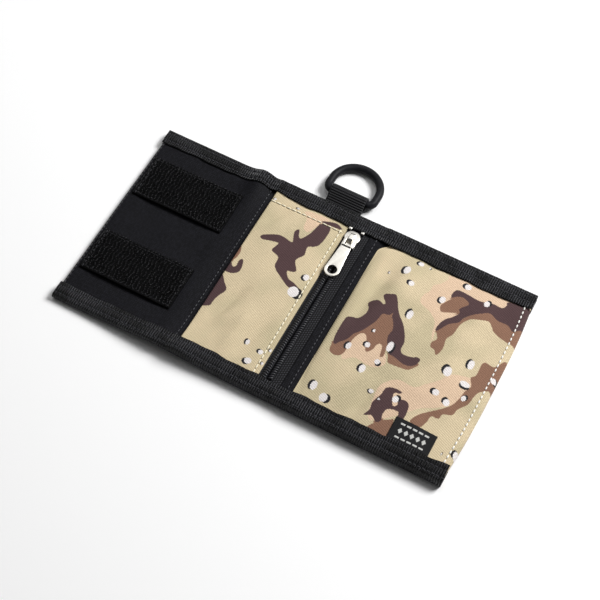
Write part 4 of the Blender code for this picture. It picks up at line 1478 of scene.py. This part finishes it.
def make_camera(azimuth=23.65, elevation=59.3, roll=4.7, distance=0.737):
    """A long lens above the wallet's near right corner."""
    data = bpy.data.cameras.new("camera")
    data.lens, data.sensor_width = 90.0, 36.0
    az, el, turn = radians(azimuth), radians(elevation), radians(roll)
    back = Vector((sin(az) * cos(el), -cos(az) * cos(el), sin(el)))
    level = Vector((cos(az), sin(az), 0.0))
    up = back.cross(level)
    right = level * cos(turn) + up * sin(turn)
    up = back.cross(right)
    target = Vector(to_frame((LENGTH / 2, HEIGHT / 2, 4.0)))
    made = bpy.data.objects.new("camera", data)
    place = target + back * distance + right * 0.0017 - up * 0.0022
    made.matrix_world = Matrix.Translation(place) @ Matrix((right, up, back)).transposed().to_4x4()
    bpy.context.scene.collection.objects.link(made)
    bpy.context.scene.camera = made


def make_stage():
    """Plain pale floor, one soft lamp behind and above, two weak ones that fill and give gloss, and an even sky."""
    stage = bpy.context.scene.wallet_stage
    paper, _, shader, _ = start_material("matt_paper", "#ffffff", 0.9)
    shader.inputs["Base Color"].default_value = (*stage.floor_tone, 1.0)
    mesh = bpy.data.meshes.new("floor")
    half, below = 3.0, -0.0002            # metres
    corners = ((-half, -half), (half, -half), (half, half), (-half, half))
    mesh.from_pydata([(x, y, below) for x, y in corners], [], [(0, 1, 2, 3)])
    piece_of("floor", mesh, paper)
    for name, place, size, share in (("key", (0.62, 0.74, 0.95), 0.6, 1.0), ("fill", (-0.8, 0.3, 1.1), 1.0, 0.12),
                                     ("gloss", (-0.25, 0.58, 1.05), 0.6, 0.07)):
        lamp(name, place, size, stage.key_power * share)
    world = bpy.data.worlds.new("sky")
    world.use_nodes = True
    sky = world.node_tree.nodes["Background"].inputs
    sky["Color"].default_value, sky["Strength"].default_value = (1.0, 1.0, 1.0, 1.0), 0.07
    bpy.context.scene.world = world
    bpy.context.scene.view_settings.view_transform = "Standard"
    make_camera()


# ---------------------------------------------------------------- operators


class WALLET_OT_stage(bpy.types.Operator):
    """Make the floor, the lamps and the camera"""
    bl_idname = "wallet.stage"
    bl_label = "Stage"

    def execute(self, context):
        make_stage()
        return {"FINISHED"}


class WALLET_OT_shell(bpy.types.Operator):
    """Make the printed outer shell"""
    bl_idname = "wallet.shell"
    bl_label = "Outer shell"

    def execute(self, context):
        make_shell()
        return {"FINISHED"}


class WALLET_OT_lining(bpy.types.Operator):
    """Make the black inner wall"""
    bl_idname = "wallet.lining"
    bl_label = "Lining"

    def execute(self, context):
        make_lining()
        return {"FINISHED"}


class WALLET_OT_bindings(bpy.types.Operator):
    """Make the ribbons folded round the edges"""
    bl_idname = "wallet.bindings"
    bl_label = "Bindings"

    def execute(self, context):
        make_bindings()
        return {"FINISHED"}


class WALLET_OT_coin_pocket(bpy.types.Operator):
    """Make the coin pocket's front and the zip's facing"""
    bl_idname = "wallet.coin_pocket"
    bl_label = "Coin pocket"

    def execute(self, context):
        make_coin_pocket()
        return {"FINISHED"}


class WALLET_OT_card_pocket(bpy.types.Operator):
    """Make the card pocket's front"""
    bl_idname = "wallet.card_pocket"
    bl_label = "Card pocket"

    def execute(self, context):
        make_card_pocket()
        return {"FINISHED"}


class WALLET_OT_hook_and_loop(bpy.types.Operator):
    """Make the hook tapes and the loop tapes"""
    bl_idname = "wallet.hook_and_loop"
    bl_label = "Hook and loop tapes"

    def execute(self, context):
        make_hook_and_loop()
        return {"FINISHED"}


class WALLET_OT_zip(bpy.types.Operator):
    """Make the zip's tapes, coils and stops"""
    bl_idname = "wallet.zip"
    bl_label = "Zip"

    def execute(self, context):
        make_zip()
        return {"FINISHED"}


class WALLET_OT_slider(bpy.types.Operator):
    """Make the slider and its pull tab"""
    bl_idname = "wallet.slider"
    bl_label = "Slider and pull"

    def execute(self, context):
        make_slider()
        return {"FINISHED"}


class WALLET_OT_label(bpy.types.Operator):
    """Make the woven side label"""
    bl_idname = "wallet.label"
    bl_label = "Side label"

    def execute(self, context):
        make_label()
        return {"FINISHED"}


class WALLET_OT_webbing(bpy.types.Operator):
    """Make the webbing loop"""
    bl_idname = "wallet.webbing"
    bl_label = "Webbing loop"

    def execute(self, context):
        make_webbing()
        return {"FINISHED"}


class WALLET_OT_ring(bpy.types.Operator):
    """Make the moulded D-ring"""
    bl_idname = "wallet.ring"
    bl_label = "D-ring"

    def execute(self, context):
        make_ring()
        return {"FINISHED"}


class WALLET_OT_stitching(bpy.types.Operator):
    """Make every visible line of stitches"""
    bl_idname = "wallet.stitching"
    bl_label = "Stitching"

    def execute(self, context):
        make_stitching()
        return {"FINISHED"}


OPERATORS = (
    WALLET_OT_stage, WALLET_OT_shell, WALLET_OT_lining, WALLET_OT_bindings, WALLET_OT_coin_pocket,
    WALLET_OT_card_pocket, WALLET_OT_hook_and_loop, WALLET_OT_zip, WALLET_OT_slider, WALLET_OT_label,
    WALLET_OT_webbing, WALLET_OT_ring, WALLET_OT_stitching,
)
SETTINGS = (
    ("wallet_cloth", WalletCloth), ("wallet_hardware", WalletHardware), ("wallet_stage", WalletStage),
)


class WALLET_PT_panel(bpy.types.Panel):
    """Lists the wallet's sizes and the steps that make it"""
    bl_idname = "WALLET_PT_panel"
    bl_label = "Trifold wallet"
    bl_space_type = "VIEW_3D"
    bl_region_type = "UI"
    bl_category = "Wallet"

    def draw(self, context):
        for name, group in SETTINGS:
            box = self.layout.box()
            for field in group.__annotations__:
                box.prop(getattr(context.scene, name), field)
        for operator in OPERATORS:
            self.layout.operator(operator.bl_idname)


def register():
    for name, group in SETTINGS:
        bpy.utils.register_class(group)
        setattr(bpy.types.Scene, name, PointerProperty(type=group))
    for made in (*OPERATORS, WALLET_PT_panel):
        bpy.utils.register_class(made)


def unregister():
    for made in (WALLET_PT_panel, *reversed(OPERATORS)):
        bpy.utils.unregister_class(made)
    for name, group in reversed(SETTINGS):
        delattr(bpy.types.Scene, name)
        bpy.utils.unregister_class(group)


def main():
    """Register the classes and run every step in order."""
    register()
    for operator in OPERATORS:
        group, name = operator.bl_idname.split(".")
        getattr(getattr(bpy.ops, group), name)()


if __name__ == "__main__":
    main()
